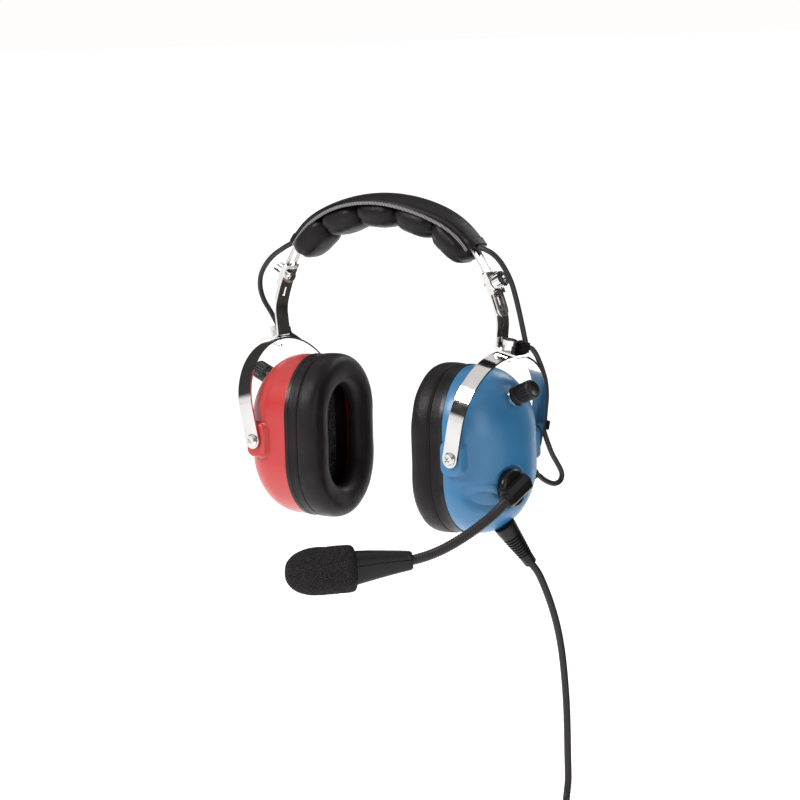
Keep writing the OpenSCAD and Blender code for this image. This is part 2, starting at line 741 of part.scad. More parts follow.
module volume_knob() {
    ribs = 18;
    color([0.12, 0.12, 0.12]) knob_frame() translate([0, 0, 2.2 + gap]) difference() {
        union() {
            cylinder(d = knob_d, h = knob_l - 4, $fn = round_fn);
            translate([0, 0, knob_l - 4]) cylinder(d1 = knob_d, d2 = knob_d - 1.6, h = 1.2, $fn = round_fn);
        }
        for (k = [0 : ribs - 1]) rotate(k * 360 / ribs) translate([knob_d / 2 + 0.25, 0, 4.6])
            cylinder(r = 0.5, h = knob_l, $fn = 16);
        translate([0, 0, -1]) cylinder(r = 3 + running, h = 12.6, $fn = round_fn);
    }
}

module cable_grommet() {
    color([0.1, 0.1, 0.1]) translate(grommet_at) rotate([-90, 0, 0]) difference() {
        union() {
            cylinder(r = 2.8, h = 3, $fn = round_fn);
            translate([0, 0, 2.2]) cylinder(r1 = 4, r2 = 3, h = 3.8, $fn = round_fn);
        }
        translate([0, 0, -1]) cylinder(r = 1, h = 4, $fn = round_fn);
    }
}

// ---- Boom microphone ----

module boom_frame() {
    translate([0, hub_y, hub_z]) rotate([boom_tilt, 0, 0]) children();
}

module boom_hub() {
    x0 = hub_x + gap;
    color([0.11, 0.11, 0.11]) {
        difference() {
            translate([x0, hub_y, hub_z]) rotate([0, 90, 0]) {
                cylinder(d = hub_d, h = 4, $fn = round_fn);
                translate([0, 0, 4]) cylinder(d1 = hub_d, d2 = hub_d - 3, h = 1.5, $fn = round_fn);
            }
            boom_block(seat);
        }
        difference() {
            translate([hub_x - 9, hub_y, hub_z]) rotate([0, 90, 0])
                cylinder(r = hub_shaft_r, h = 9 + gap, $fn = round_fn);
            translate([hub_x - 10, hub_y, hub_z]) rotate([0, 90, 0]) cylinder(r = 1, h = 8, $fn = 24);
        }
        translate([hub_x - 9.2, hub_y, hub_z]) rotate([0, 90, 0]) difference() {
            cylinder(r = 6.4, h = 2.6, $fn = round_fn);
            translate([0, 0, -1]) cylinder(r = hub_shaft_r + seat, h = 6, $fn = round_fn);
        }
    }
}

// The bevelled clamp block across the hub, grown by g; its local Z runs along the boom
module boom_block(g) {
    half = clamp_w / 2 + g;
    top = clamp_x + clamp_t + g;
    boom_frame() translate([0, 0, clamp_low - g]) linear_extrude(clamp_high - clamp_low + 2 * g) polygon([
        [clamp_x - g, -half], [top - clamp_bevel, -half], [top, -half + clamp_bevel],
        [top, half - clamp_bevel], [top - clamp_bevel, half], [clamp_x - g, half]
    ]);
}

module boom_clamp() {
    color([0.12, 0.12, 0.12]) difference() {
        union() {
            boom_block(0);
            boom_frame() translate([boom_x, 0, clamp_high])
                cylinder(r1 = 4.6, r2 = 4.2, h = collar_l, $fn = round_fn);
        }
        boom_frame() translate([boom_x, 0, clamp_high - 2.6])
            cylinder(r = goose_d / 2 + seat, h = 10, $fn = round_fn);
    }
}

module gooseneck() {
    color([0.22, 0.21, 0.21]) tube(goose_route, goose_d, 12, 4);
}

// A frame at the gooseneck's end, with +Z along the microphone and +X near upright
module mic_frame() {
    translate(mic_at) along(mic_dir) rotate([0, 0, 180]) children();
}

// The line where the housing's two halves meet, at distance z from the neck
function parting(z) = 1.2 + 0.05 * z;

// Half a housing as a hull of plates; each is [low x, high x, half width, z]
module housing_half(plates) {
    hull() for (p = plates) translate([p[0], -p[2], p[3]]) cube([p[1] - p[0], 2 * p[2], 0.5]);
}

module goose_hole() {
    translate([0, 0, -3]) cylinder(r = goose_d / 2 + 1.2, h = 11, $fn = round_fn);
}

module mic_housing_lower() {
    color([0.12, 0.11, 0.12]) mic_frame() difference() {
        housing_half([
            [-5.6, parting(0), 5, 0], [-6.6, parting(8), 5.6, 8],
            [-11.8, parting(housing_l - 0.5), 7.4, housing_l - 0.5]
        ]);
        goose_hole();
    }
}

module mic_housing_upper() {
    color([0.14, 0.13, 0.14]) mic_frame() difference() {
        housing_half([
            [parting(0) + 2 * seat, 5, 4.4, 0], [parting(8) + 2 * seat, 6.4, 5, 8],
            [parting(housing_l) + 2 * seat, 8.2, 6.6, housing_l - 1.5]
        ]);
        goose_hole();
    }
}

module mic_capsule() {
    color([0.5, 0.5, 0.5]) mic_frame() translate([-2, 0, housing_l + seat]) difference() {
        cylinder(r = capsule_r, h = capsule_l, $fn = round_fn);
        translate([0, 0, capsule_l - 1]) cylinder(r = capsule_r - 1, h = 2, $fn = round_fn);
    }
}

module windscreen() {
    r = foam_d / 2;
    nose = 12;
    color([0.2, 0.19, 0.2]) mic_frame() translate([-2, 0, housing_l + 0.6]) difference() {
        rotate_extrude($fn = 64) polygon(concat(
            [[0, 0], [r - 2.4, 0], [r - 0.7, 0.7], [r, 2.4], [r - 0.4, foam_l - nose - 4]],
            [for (a = [10 : 10 : 90]) [(r - 0.4) * cos(a), foam_l - nose - 4 + (nose + 4) * sin(a)]]
        ));
        translate([0, 0, -1]) cylinder(r = capsule_r + 0.1, h = capsule_l + 1.2, $fn = round_fn);
    }
}

// ---- Main cord ----

module strain_relief() {
    axis = relief_end - relief_at;
    l = norm(axis);
    grooves = 7;
    color([0.12, 0.12, 0.12]) difference() {
        relief_cone(0);
        translate(relief_at) along(axis) for (k = [0 : grooves - 1])
            let (z = l * (0.24 + 0.075 * k), core = relief_r1 - (relief_r1 - relief_r2) * z / l - 0.9)
            translate([0, 0, z]) difference() {
                cylinder(r = relief_r1 + 1, h = l * 0.035, $fn = round_fn);
                translate([0, 0, -1]) cylinder(r = core, h = 4, $fn = round_fn);
            }
    }
}

module main_cord() {
    color([0.24, 0.23, 0.23]) tube(cord_route, cord_d, 10, 3);
}

module cord_hank() {
    color([0.24, 0.23, 0.23]) translate(hank_at) rotate([90, 0, 0]) linear_extrude(hank_t, center = true) {
        square([hank_w, hank_run], center = true);
        for (z = [-1, 1]) translate([0, z * hank_run / 2]) circle(d = hank_w, $fn = round_fn);
    }
}

// A strap round the middle of the hank
module hank_tie() {
    color([0.1, 0.1, 0.1]) translate(hank_at) difference() {
        cube([hank_w + 2 * (tie_t + seat), hank_t + 2 * (tie_t + seat), tie_h], center = true);
        cube([hank_w + 2 * seat, hank_t + 2 * seat, tie_h + 2], center = true);
    }
}

// A moulded block where the cord parts into its two leads
module cord_junction() {
    color([0.1, 0.1, 0.1]) translate(junction_at) hull() {
        translate([0, 0, junction_l - 0.5]) cylinder(d = 7, h = 0.5, $fn = 32);
        for (s = [-1, 1]) translate([s * lead_spread, 0, 0]) cylinder(d = 5.4, h = 4, $fn = 32);
    }
}

module phone_lead() {
    color([0.24, 0.23, 0.23]) tube(lead_route(-1), lead_d, 8, 4);
}

module mic_lead() {
    color([0.24, 0.23, 0.23]) tube(lead_route(1), lead_d, 8, 4);
}

// A moulded grip with a stepped pin, hanging from the end of its lead on side s
module plug(s, d, tip_d, pin_l) {
    grip_l = 22;
    grip_r = 5.4;
    neck = grip_l + pin_l * 0.72;
    tip = grip_l + pin_l * 0.82;
    translate([junction_at.x + s * plug_spread, plug_y, plug_top]) rotate([180, 0, 0]) {
        cylinder(r1 = 3, r2 = grip_r, h = 8, $fn = round_fn);
        translate([0, 0, 8]) cylinder(r = grip_r, h = grip_l - 8, $fn = round_fn);
        translate([0, 0, grip_l]) cylinder(d = d, h = neck - grip_l, $fn = round_fn);
        translate([0, 0, neck]) cylinder(d = tip_d, h = tip - neck, $fn = round_fn);
        translate([0, 0, tip]) cylinder(d1 = d, d2 = tip_d * 0.6, h = grip_l + pin_l - tip, $fn = round_fn);
    }
}

module phone_plug() {
    color([0.8, 0.8, 0.82]) plug(-1, plug_d_phone, 4.6, 30);
}

module mic_plug() {
    color([0.8, 0.8, 0.82]) plug(1, plug_d_mic, 3.8, 28);
}

// ---- The whole headset ----

head_cover();
cover_piping();
pad_lobes();
spring_band();
crossover_top();
side(left) arm();  // arm_left
side(right) arm();  // arm_right
side(left) guide_bracket();  // guide_bracket_left
side(right) guide_bracket();  // guide_bracket_right
side(left) arm_fasteners();  // arm_fasteners_left
side(right) arm_fasteners();  // arm_fasteners_right
side(left) cable_clip_upper();  // cable_clip_upper_left
side(right) cable_clip_upper();  // cable_clip_upper_right
side(left) thumbscrew();  // thumbscrew_left
side(right) thumbscrew();  // thumbscrew_right
side(left) stirrup();  // stirrup_left
side(right) stirrup();  // stirrup_right
side(left) cable_clip_lower();  // cable_clip_lower_left
side(right) cable_clip_lower();  // cable_clip_lower_right
crossover_run(left, upper_route_left);  // crossover_upper_left
crossover_run(right, upper_route_right);  // crossover_upper_right
crossover_run(left, middle_route);  // crossover_middle_left
crossover_run(right, middle_route);  // crossover_middle_right
crossover_run(left, lower_route);  // crossover_lower_left
crossover_run(right, lower_route);  // crossover_lower_right
side(left) ear_shell(left);  // ear_shell_left
side(right) ear_shell(right);  // ear_shell_right
side(left) pivot_screws();  // pivot_screws_left
side(right) pivot_screws();  // pivot_screws_right
side(left) seal_plate(left);  // seal_plate_left
side(right) seal_plate(right);  // seal_plate_right
side(left) ear_seal(left);  // ear_seal_left
side(right) ear_seal(right);  // ear_seal_right
side(left) liner_foam(left);  // liner_foam_left
side(right) liner_foam(right);  // liner_foam_right
side(left) speaker(left);  // speaker_left
side(right) speaker(right);  // speaker_right
side(left) volume_pot();  // volume_pot_left
side(right) volume_pot();  // volume_pot_right
side(left) volume_knob();  // volume_knob_left
side(right) volume_knob();  // volume_knob_right
side(left) cable_grommet();  // cable_grommet_left
side(right) cable_grommet();  // cable_grommet_right
boom_hub();
boom_clamp();
gooseneck();
mic_housing_lower();
mic_housing_upper();
mic_capsule();
windscreen();
strain_relief();
main_cord();
cord_hank();
hank_tie();
cord_junction();
phone_lead();
mic_lead();
phone_plug();
mic_plug();
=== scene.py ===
from math import acos, atan2, cos, degrees, pi, radians, sin, sqrt, tan

import bmesh
import bpy
from mathutils import Matrix, Vector, noise


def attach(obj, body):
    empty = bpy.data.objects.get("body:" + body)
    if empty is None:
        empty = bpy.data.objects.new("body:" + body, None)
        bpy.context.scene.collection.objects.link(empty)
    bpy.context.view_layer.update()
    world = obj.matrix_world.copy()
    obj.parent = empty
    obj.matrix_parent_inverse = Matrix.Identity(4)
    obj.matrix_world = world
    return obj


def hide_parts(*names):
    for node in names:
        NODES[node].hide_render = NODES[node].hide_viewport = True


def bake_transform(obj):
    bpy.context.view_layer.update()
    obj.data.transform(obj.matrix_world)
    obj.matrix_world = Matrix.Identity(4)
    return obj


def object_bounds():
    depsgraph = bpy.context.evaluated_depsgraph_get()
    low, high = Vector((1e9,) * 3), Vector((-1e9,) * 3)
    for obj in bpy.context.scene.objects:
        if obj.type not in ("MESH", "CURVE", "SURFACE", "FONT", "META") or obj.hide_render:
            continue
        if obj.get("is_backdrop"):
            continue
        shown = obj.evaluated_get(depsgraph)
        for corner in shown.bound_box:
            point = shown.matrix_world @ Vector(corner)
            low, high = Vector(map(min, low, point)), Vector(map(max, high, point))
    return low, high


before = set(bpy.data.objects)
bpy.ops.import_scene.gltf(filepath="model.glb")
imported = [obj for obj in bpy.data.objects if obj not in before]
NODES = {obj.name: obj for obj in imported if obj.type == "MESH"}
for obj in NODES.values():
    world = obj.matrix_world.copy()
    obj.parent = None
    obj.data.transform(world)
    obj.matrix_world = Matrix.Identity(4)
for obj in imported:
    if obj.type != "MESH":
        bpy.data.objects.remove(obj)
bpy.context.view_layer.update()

MM = 0.001
SIDES = {"left": 1, "right": -1}

# ---- Values shared with the CAD model, in millimetres and degrees ----
SLIDE_CENTRE, SLIDE_R = (-18.9, 50.0), 111.9
SHOULDER_R, CROWN_ANGLE, COVER_END = 58.0, 63.0, 38.0
COVER_W, COVER_END_HALF, COVER_RISE, COVER_UNDER = 29.0, 7.5, 4.4, -1.4
CABLE_RISE, CABLE_Y = 2.3, -2.0
LOBE_PITCH, LOBE_DEPTH, LOBE_HALF_MIN = 31.2, 16.8, 12.0
CUP_H, CUP_W, DOME_X, DOME_DEPTH, DOME_POWER = 100.0, 73.0, 69.0, 29.5, 2.15
RIM_X, RIM_SLANT, RIM_DEPTH, SHELL_WALL = 62.0, radians(11), 10.0, 2.2
SEAL_H, SEAL_W, SEAL_HOLE_W, SEAL_T, PLATE_T = 102.0, 76.0, 37.0, 24.0, 2.4
PIVOT_X, BOSS_Y, PAD_IN, PAD_OUT, PAD_HALF, PAD_CORNER = 78.0, 39.6, 8.8, 6.5, 10.5, 5.0
HUB = (95.0, -7.5, -20.0)
SEAM_U = -8.5
KNOB_BASE, KNOB_LEAN = (94.5, 0.0, 32.5), 23.0
RELIEF_AT, RELIEF_END, RELIEF_R1, RELIEF_R2 = (82, 5.5, -46.5), (89, 20.4, -70.1), 6.2, 3.1
MIC_AT, MIC_DIR = (80, -79.2, -52.9), (-0.745, -0.66, -0.05)
HOUSING_L, FOAM_D, FOAM_L = 33.0, 27.5, 40.0
CORD_D, LEAD_D, CROSS_D, GOOSE_D = 4.4, 3.6, 3.2, 6.0
HANK_X, HANK_TOP, HANK_RUN, HANK_FOLD, HANK_TURNS = 98.0, -222.0, 74.0, 13.8, 5

SHOULDER_SHIFT = SLIDE_R - SHOULDER_R
SHOULDER_CX = SLIDE_CENTRE[0] + SHOULDER_SHIFT * cos(radians(COVER_END))
SHOULDER_CZ = SLIDE_CENTRE[1] + SHOULDER_SHIFT * sin(radians(COVER_END))
CROWN_R = SHOULDER_R + SHOULDER_CX / cos(radians(CROWN_ANGLE))
CROWN_CZ = SHOULDER_CZ - SHOULDER_CX * tan(radians(CROWN_ANGLE))
CROWN_ARC = radians(90 - CROWN_ANGLE) * CROWN_R
BAND_END = CROWN_ARC + radians(CROWN_ANGLE - COVER_END) * SHOULDER_R

GOOSE_ROUTE = [
    (103, -17, -24.3), (103, -22, -26.6), (101.4, -31.5, -32.4), (97.4, -46, -40), (91.8, -59, -46.4),
    (86, -69.5, -50.6), (80, -79.2, -52.9), (75.5, -83.2, -53.2),
]
UPPER_ROUTES = {
    "left": [
        (71.1, -2, 120.3), (75.5, -2, 119.6), (81.6, -1.4, 117.2), (86.4, -0.2, 112.8), (89.9, 1.2, 106.9),
        (92.6, 3, 99.4), (94, 4.8, 91), (94.9, 6.4, 83), (95.8, 7.9, 74.5), (97.4, 8.9, 64),
    ],
    "right": [
        (71.1, -2, 120.3), (75.5, -2.6, 118.6), (82, -2.6, 115.6), (91, -1.6, 111), (99, -0.2, 105),
        (105, 1.4, 98), (107.8, 3.4, 90), (107, 5.4, 82), (103, 7.4, 74), (97.5, 9, 63.6),
    ],
}
MIDDLE_ROUTE = [
    (96.9, 12.5, 60.8), (96.2, 16.5, 59.6), (94.6, 22.5, 55.6), (92.8, 28, 50.4), (91, 33.2, 44.8),
    (88.9, 38.6, 37.4), (86.8, 42.2, 28.6), (85, 43.2, 19.6), (84.1, 43.3, 13),
]
LOWER_ROUTE = [
    (83, 43.3, 7.7), (83.8, 44.6, 2.6), (83.4, 47.8, -2.8), (82.2, 52.4, -8.4), (81.2, 57.8, -14),
    (80.4, 62.8, -19.2), (79.8, 65.4, -23.8), (79.2, 63.8, -27.4), (78.6, 58.6, -28.2),
    (78.2, 51, -25.4), (78, 45, -21.6), (78, 41.1, -19.5),
]
CORD_ROUTE = [
    (89, 20.4, -70.1), (91, 25, -77), (93, 29.2, -87.5), (94.6, 33, -99), (96, 36.2, -112),
    (97, 38.6, -127), (97.6, 40.2, -145), (98, 41, -165), (98, 41, -190), (98, 41, -205),
]
HANK_ENTRY = [(98.3, 39.5, -212), (99.5, 36.6, -217.4), (102.6, 33, -220.4), (106.4, 30.6, -223.8)]
HANK_EXIT = [(110.8, 55.2, -236), (110.4, 57, -243), (110, 57.6, -250)]
PHONE_LEAD_ROUTE = [
    (105.6, 57.6, -268), (105, 57.8, -276), (103.6, 58, -288),
    (102, 58, -304), (101, 58, -322), (101, 58, -342),
]
MIC_LEAD_ROUTE = [
    (114.4, 57.6, -268), (115, 57.8, -276), (116.4, 58, -288),
    (118, 58, -304), (119, 58, -322), (119, 58, -342),
]


# ---- Camera, light and stage ----
def place_camera():
    """The photograph's viewpoint: from the wearer's front left, a little above, with a slight roll."""
    azimuth, elevation, roll = radians(40), radians(7.394), radians(1.614)
    target, distance = Vector((0.0023, 0.0061, 0.0246)), 1.7
    back = Vector((sin(azimuth) * cos(elevation), -cos(azimuth) * cos(elevation), sin(elevation)))
    right = Vector((cos(azimuth), sin(azimuth), 0))
    up = back.cross(right)
    x = right * cos(roll) - up * sin(roll)
    y = right * sin(roll) + up * cos(roll)
    data = bpy.data.cameras.new("camera")
    data.sensor_width = 36
    data.lens = 125.5
    camera = bpy.data.objects.new("camera", data)
    camera.matrix_world = Matrix((x, y, back)).transposed().to_4x4()
    camera.location = target + back * distance
    bpy.context.scene.collection.objects.link(camera)
    bpy.context.scene.camera = camera


def area_light(name, place, aim, size, power, colour=(1, 1, 1)):
    data = bpy.data.lights.new(name, "AREA")
    data.shape = "RECTANGLE"
    data.size, data.size_y = size
    data.energy = power
    data.color = colour
    light = bpy.data.objects.new(name, data)
    light.location = place
    light.rotation_euler = (Vector(aim) - Vector(place)).to_track_quat("-Z", "Y").to_euler()
    bpy.context.scene.collection.objects.link(light)


def build_world():
    """A light tent: bright up to a little above the horizon, darker overhead, as the chrome shows."""
    world = bpy.data.worlds.new("studio")
    world.use_nodes = True
    bpy.context.scene.world = world
    nodes, links = world.node_tree.nodes, world.node_tree.links
    nodes.clear()
    coord = nodes.new("ShaderNodeTexCoord")
    split = nodes.new("ShaderNodeSeparateXYZ")
    ramp = nodes.new("ShaderNodeValToRGB")
    background = nodes.new("ShaderNodeBackground")
    output = nodes.new("ShaderNodeOutputWorld")
    stops = [(0.0, 1.0), (0.11, 0.98), (0.20, 0.05), (0.58, 0.04), (0.72, 0.75), (1.0, 0.8)]
    ramp.color_ramp.elements.remove(ramp.color_ramp.elements[1])
    for place, value in stops:
        stop = ramp.color_ramp.elements[0] if place == 0 else ramp.color_ramp.elements.new(place)
        stop.color = (value, value * 0.985, value * 0.97, 1)
    links.new(coord.outputs["Generated"], split.inputs[0])
    links.new(split.outputs["Z"], ramp.inputs[0])
    links.new(ramp.outputs[0], background.inputs["Color"])
    links.new(background.outputs[0], output.inputs[0])


def build_stage():
    floor_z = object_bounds()[0][2] - 0.012
    mesh = bpy.data.meshes.new("floor")
    half = 400
    corners = [(-half, -half, floor_z), (half, -half, floor_z), (half, half, floor_z), (-half, half, floor_z)]
    mesh.from_pydata(corners, [], [(0, 1, 2, 3)])
    floor = bpy.data.objects.new("floor", mesh)
    bpy.context.scene.collection.objects.link(floor)
    mat = bpy.data.materials.new("pale_floor")
    mat.use_nodes = True
    shader = mat.node_tree.nodes["Principled BSDF"]
    shader.inputs["Base Color"].default_value = (0.86, 0.86, 0.86, 1)
    shader.inputs["Roughness"].default_value = 0.9
    shader.inputs["Emission Color"].default_value = (1, 1, 1, 1)
    shader.inputs["Emission Strength"].default_value = 0.70
    mesh.materials.append(mat)
    floor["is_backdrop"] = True


def build_dark_card():
    """A dark board behind on the right, folded forwards at its foot, which the chrome arms show."""
    low, high, near = -0.38, 0.67, 0.95
    middle = Vector((0.98, 1.12, 0))
    back = middle.normalized()
    along = Vector((-back.y, back.x, 0))
    corners = [
        (middle - back * near, low, 0.60), (middle, low, 0.80), (middle, high, 0.80),
    ]
    verts = []
    for place, z, half in corners:
        verts += [place - along * half + Vector((0, 0, z)), place + along * half + Vector((0, 0, z))]
    mesh = bpy.data.meshes.new("dark_card")
    mesh.from_pydata(verts, [], [(0, 1, 3, 2), (2, 3, 5, 4)])
    card = bpy.data.objects.new("dark_card", mesh)
    bpy.context.scene.collection.objects.link(card)
    mat = bpy.data.materials.new("dark_board")
    mat.use_nodes = True
    shader = mat.node_tree.nodes["Principled BSDF"]
    shader.inputs["Base Color"].default_value = (0.030, 0.024, 0.021, 1)
    shader.inputs["Roughness"].default_value = 0.9
    mesh.materials.append(mat)
    card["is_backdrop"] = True


def build_lights():
    area_light("key", (-0.55, -1.25, 1.15), (0, 0, 0.03), (0.6, 0.6), 26)
    area_light("fill", (1.5, -0.5, 0.5), (0.05, 0, 0), (0.9, 0.9), 6)
    area_light("back", (0.2, 1.5, 0.9), (0, 0, 0.05), (1.0, 0.6), 9)


# ---- Materials ----
class Surface:
    """A procedural material: a Principled shader with noise, cells and bumps in object space."""

    def __init__(self, name, metallic=0.0, **sockets):
        self.mat = bpy.data.materials.new(name)
        self.mat.use_nodes = True
        self.nodes, self.links = self.mat.node_tree.nodes, self.mat.node_tree.links
        self.shader = self.nodes["Principled BSDF"]
        self.shader.inputs["Metallic"].default_value = metallic
        for socket, value in sockets.items():
            self.shader.inputs[socket.replace("_", " ")].default_value = value
        self.coord = self.nodes.new("ShaderNodeTexCoord")

    def noise(self, scale, detail=3.0, stretch=(1, 1, 1)):
        place = self.nodes.new("ShaderNodeMapping")
        place.inputs["Scale"].default_value = stretch
        self.links.new(self.coord.outputs["Object"], place.inputs["Vector"])
        tex = self.nodes.new("ShaderNodeTexNoise")
        tex.inputs["Scale"].default_value = scale
        tex.inputs["Detail"].default_value = detail
        self.links.new(place.outputs[0], tex.inputs["Vector"])
        return tex.outputs["Fac"]

    def cells(self, scale, feature="F1"):
        tex = self.nodes.new("ShaderNodeTexVoronoi")
        tex.feature = feature
        tex.inputs["Scale"].default_value = scale
        self.links.new(self.coord.outputs["Object"], tex.inputs["Vector"])
        return tex.outputs["Distance"]

    def ramp(self, value, low, high, start=0.35, end=0.65):
        ramp = self.nodes.new("ShaderNodeValToRGB")
        first, last = ramp.color_ramp.elements
        first.position, last.position = start, end
        first.color, last.color = (*low, 1), (*high, 1)
        self.links.new(value, ramp.inputs[0])
        return ramp.outputs[0]

    def colour(self, value, low, high, start=0.35, end=0.65):
        self.links.new(self.ramp(value, low, high, start, end), self.shader.inputs["Base Color"])

    def roughness(self, value, low, high, start=0.3, end=0.7):
        shade = self.ramp(value, (low,) * 3, (high,) * 3, start, end)
        self.links.new(shade, self.shader.inputs["Roughness"])

    def bump(self, *layers):
        """Each layer is (height, distance in millimetres)."""
        normal = None
        for height, distance in layers:
            node = self.nodes.new("ShaderNodeBump")
            node.inputs["Distance"].default_value = distance * MM
            self.links.new(height, node.inputs["Height"])
            if normal:
                self.links.new(normal, node.inputs["Normal"])
            normal = node.outputs[0]
        self.links.new(normal, self.shader.inputs["Normal"])


def shade(rgb, factor):
    return tuple(min(1.0, c * factor) for c in rgb)


def leatherette(name, rgb, rough):
    s = Surface(name)
    s.shader.inputs["Specular IOR Level"].default_value = 0.14
    s.colour(s.noise(70), shade(rgb, 0.8), shade(rgb, 1.2))
    s.roughness(s.noise(160), rough - 0.06, rough + 0.08)
    s.bump((s.cells(1500), 0.09), (s.noise(420), 0.16))
    return s.mat


def moulded(name, rgb, rough, grain=0.03, coat=0.0, gloss=0.5):
    s = Surface(name, Coat_Weight=coat, Coat_Roughness=0.24, Specular_IOR_Level=gloss)
    s.colour(s.noise(38), shade(rgb, 0.93), shade(rgb, 1.06))
    s.roughness(s.noise(300), rough - 0.05, rough + 0.06)
    s.bump((s.noise(1300, 2), grain), (s.noise(90, 1), grain * 3))
    return s.mat


def metal(name, rgb, rough, brushed=False):
    s = Surface(name, metallic=1.0)
    s.colour(s.noise(55), shade(rgb, 0.94), shade(rgb, 1.04))
    s.roughness(s.noise(240, 4), rough * 0.6, rough * 1.7)
    if brushed:
        s.bump((s.noise(900, 2, (1, 0.05, 1)), 0.02))
    else:
        s.bump((s.noise(130, 1), 0.02))
    return s.mat


def foam(name, rgb, speck, scale):
    s = Surface(name, Specular_IOR_Level=0.12)
    s.colour(s.cells(scale), rgb, speck, 0.42, 0.62)
    s.shader.inputs["Roughness"].default_value = 0.92
    s.bump((s.cells(scale), 0.7), (s.noise(scale * 1.6), 0.4))
    return s.mat


def woven(name, rgb, thread, rough):
    """A fine diagonal weave, as on a cord or tape."""
    s = Surface(name, Sheen_Weight=0.15)
    wave = s.nodes.new("ShaderNodeTexWave")
    wave.bands_direction = "DIAGONAL"
    wave.inputs["Scale"].default_value = 260
    wave.inputs["Distortion"].default_value = 0.6
    s.links.new(s.coord.outputs["Object"], wave.inputs["Vector"])
    s.colour(wave.outputs["Fac"], rgb, thread, 0.2, 0.8)
    s.roughness(s.noise(300), rough - 0.05, rough + 0.05)
    s.bump((wave.outputs["Fac"], 0.25), (s.noise(900), 0.08))
    return s.mat


def build_materials():
    return {
        "leatherette": leatherette("leatherette", (0.0085, 0.0068, 0.0075), 0.36),
        "leatherette_seal": leatherette("leatherette_seal", (0.0120, 0.0095, 0.0108), 0.38),
        "piping": woven("piping_cord", (0.07, 0.065, 0.066), (0.20, 0.19, 0.19), 0.6),
        "chrome": metal("chrome", (0.80, 0.79, 0.78), 0.07),
        "steel": metal("steel", (0.62, 0.61, 0.60), 0.22, brushed=True),
        "fasteners": metal("bright_zinc", (0.72, 0.71, 0.70), 0.16),
        "shell_blue": moulded("shell_blue", (0.030, 0.158, 0.325), 0.38, 0.06, 0.25, 0.4),
        "shell_red": moulded("shell_red", (0.43, 0.024, 0.022), 0.36, 0.04, 0.3, 0.4),
        "black_satin": moulded("black_satin", (0.0085, 0.0075, 0.0080), 0.34, 0.02, gloss=0.25),
        "black_gloss": moulded("black_gloss", (0.0070, 0.0062, 0.0065), 0.26, 0.015, gloss=0.3),
        "cable": moulded("cable_jacket", (0.020, 0.0175, 0.0180), 0.42, 0.03, gloss=0.25),
        "sleeve": moulded("ribbed_sleeve", (0.018, 0.016, 0.0165), 0.40, 0.02, gloss=0.3),
        "foam_mic": foam("windscreen_foam", (0.0085, 0.0075, 0.0080), (0.038, 0.035, 0.036), 2100),
        "foam_ear": foam("ear_foam", (0.006, 0.0055, 0.006), (0.075, 0.072, 0.075), 1100),
        "nickel": metal("nickel_contact", (0.66, 0.62, 0.55), 0.14),
        "mark": moulded("pale_mark", (0.12, 0.12, 0.12), 0.5),
    }


# ---- Mesh helpers ----
def new_piece(name, verts, faces, material, smooth=True):
    """A mesh object from points in millimetres."""
    mesh = bpy.data.meshes.new(name)
    mesh.from_pydata([Vector(v) * MM for v in verts], [], faces)
    mesh.materials.append(material)
    fix = bmesh.new()
    fix.from_mesh(mesh)
    bmesh.ops.recalc_face_normals(fix, faces=fix.faces)
    fix.to_mesh(mesh)
    fix.free()
    for face in mesh.polygons:
        face.use_smooth = smooth
    piece = bpy.data.objects.new(name, mesh)
    bpy.context.scene.collection.objects.link(piece)
    return piece


def grid_faces(rows, columns):
    """Faces between neighbouring rows of points, where each row is a closed ring."""
    faces = []
    for row in range(rows - 1):
        low, high = row * columns, (row + 1) * columns
        for c in range(columns):
            d = (c + 1) % columns
            faces.append((low + c, low + d, high + d, high + c))
    return faces


def capped(rows, columns):
    """Faces of a closed skin: rings with a flat cap on the first and last."""
    faces = grid_faces(rows, columns)
    faces.append(tuple(reversed(range(columns))))
    faces.append(tuple(range((rows - 1) * columns, rows * columns)))
    return faces


def spline(points, steps):
    """The same smooth curve through points as the CAD model uses."""
    points = [Vector(p) for p in points]
    line = []
    for i in range(len(points) - 1):
        a, b, c = points[max(i - 1, 0)], points[i], points[i + 1]
        d = points[min(i + 2, len(points) - 1)]
        for k in range(steps):
            t = k / steps
            square = (2 * a - 5 * b + 4 * c - d) * t * t
            cube = (3 * b - a - 3 * c + d) * t ** 3
            line.append(0.5 * (2 * b + (c - a) * t + square + cube))
    line.append(points[-1])
    return line


def path_frames(line, hint=(1, 0, 0)):
    """A pair of side directions at each point, carried along without twisting."""
    side, frames = Vector(hint), []
    for i, point in enumerate(line):
        tangent = (line[min(i + 1, len(line) - 1)] - line[max(i - 1, 0)]).normalized()
        side = (side - side.dot(tangent) * tangent).normalized()
        frames.append((point, side, tangent.cross(side)))
    return frames


def tube(name, line, radius, material, sides=16, radius_at=None):
    """A round tube along a line. radius_at gives a radius for a share of the length from 0 to 1."""
    verts = []
    for i, (point, u, v) in enumerate(path_frames(line)):
        r = radius_at(i / (len(line) - 1)) if radius_at else radius
        for k in range(sides):
            a = 2 * pi * k / sides
            verts.append(point + r * (cos(a) * u + sin(a) * v))
    return new_piece(name, verts, capped(len(line), sides), material)


def lathe(name, profile, place, materials, steps=64):
    """Turns (radius, height, material index) rows about place's Z axis."""
    verts = []
    for radius, height, _ in profile:
        for k in range(steps):
            a = 2 * pi * k / steps
            verts.append(place @ Vector((radius * cos(a), radius * sin(a), height)))
    piece = new_piece(name, verts, capped(len(profile), steps), materials[0])
    for extra in materials[1:]:
        piece.data.materials.append(extra)
    for row in range(len(profile) - 1):
        for k in range(steps):
            piece.data.polygons[row * steps + k].material_index = profile[row][2]
    return piece


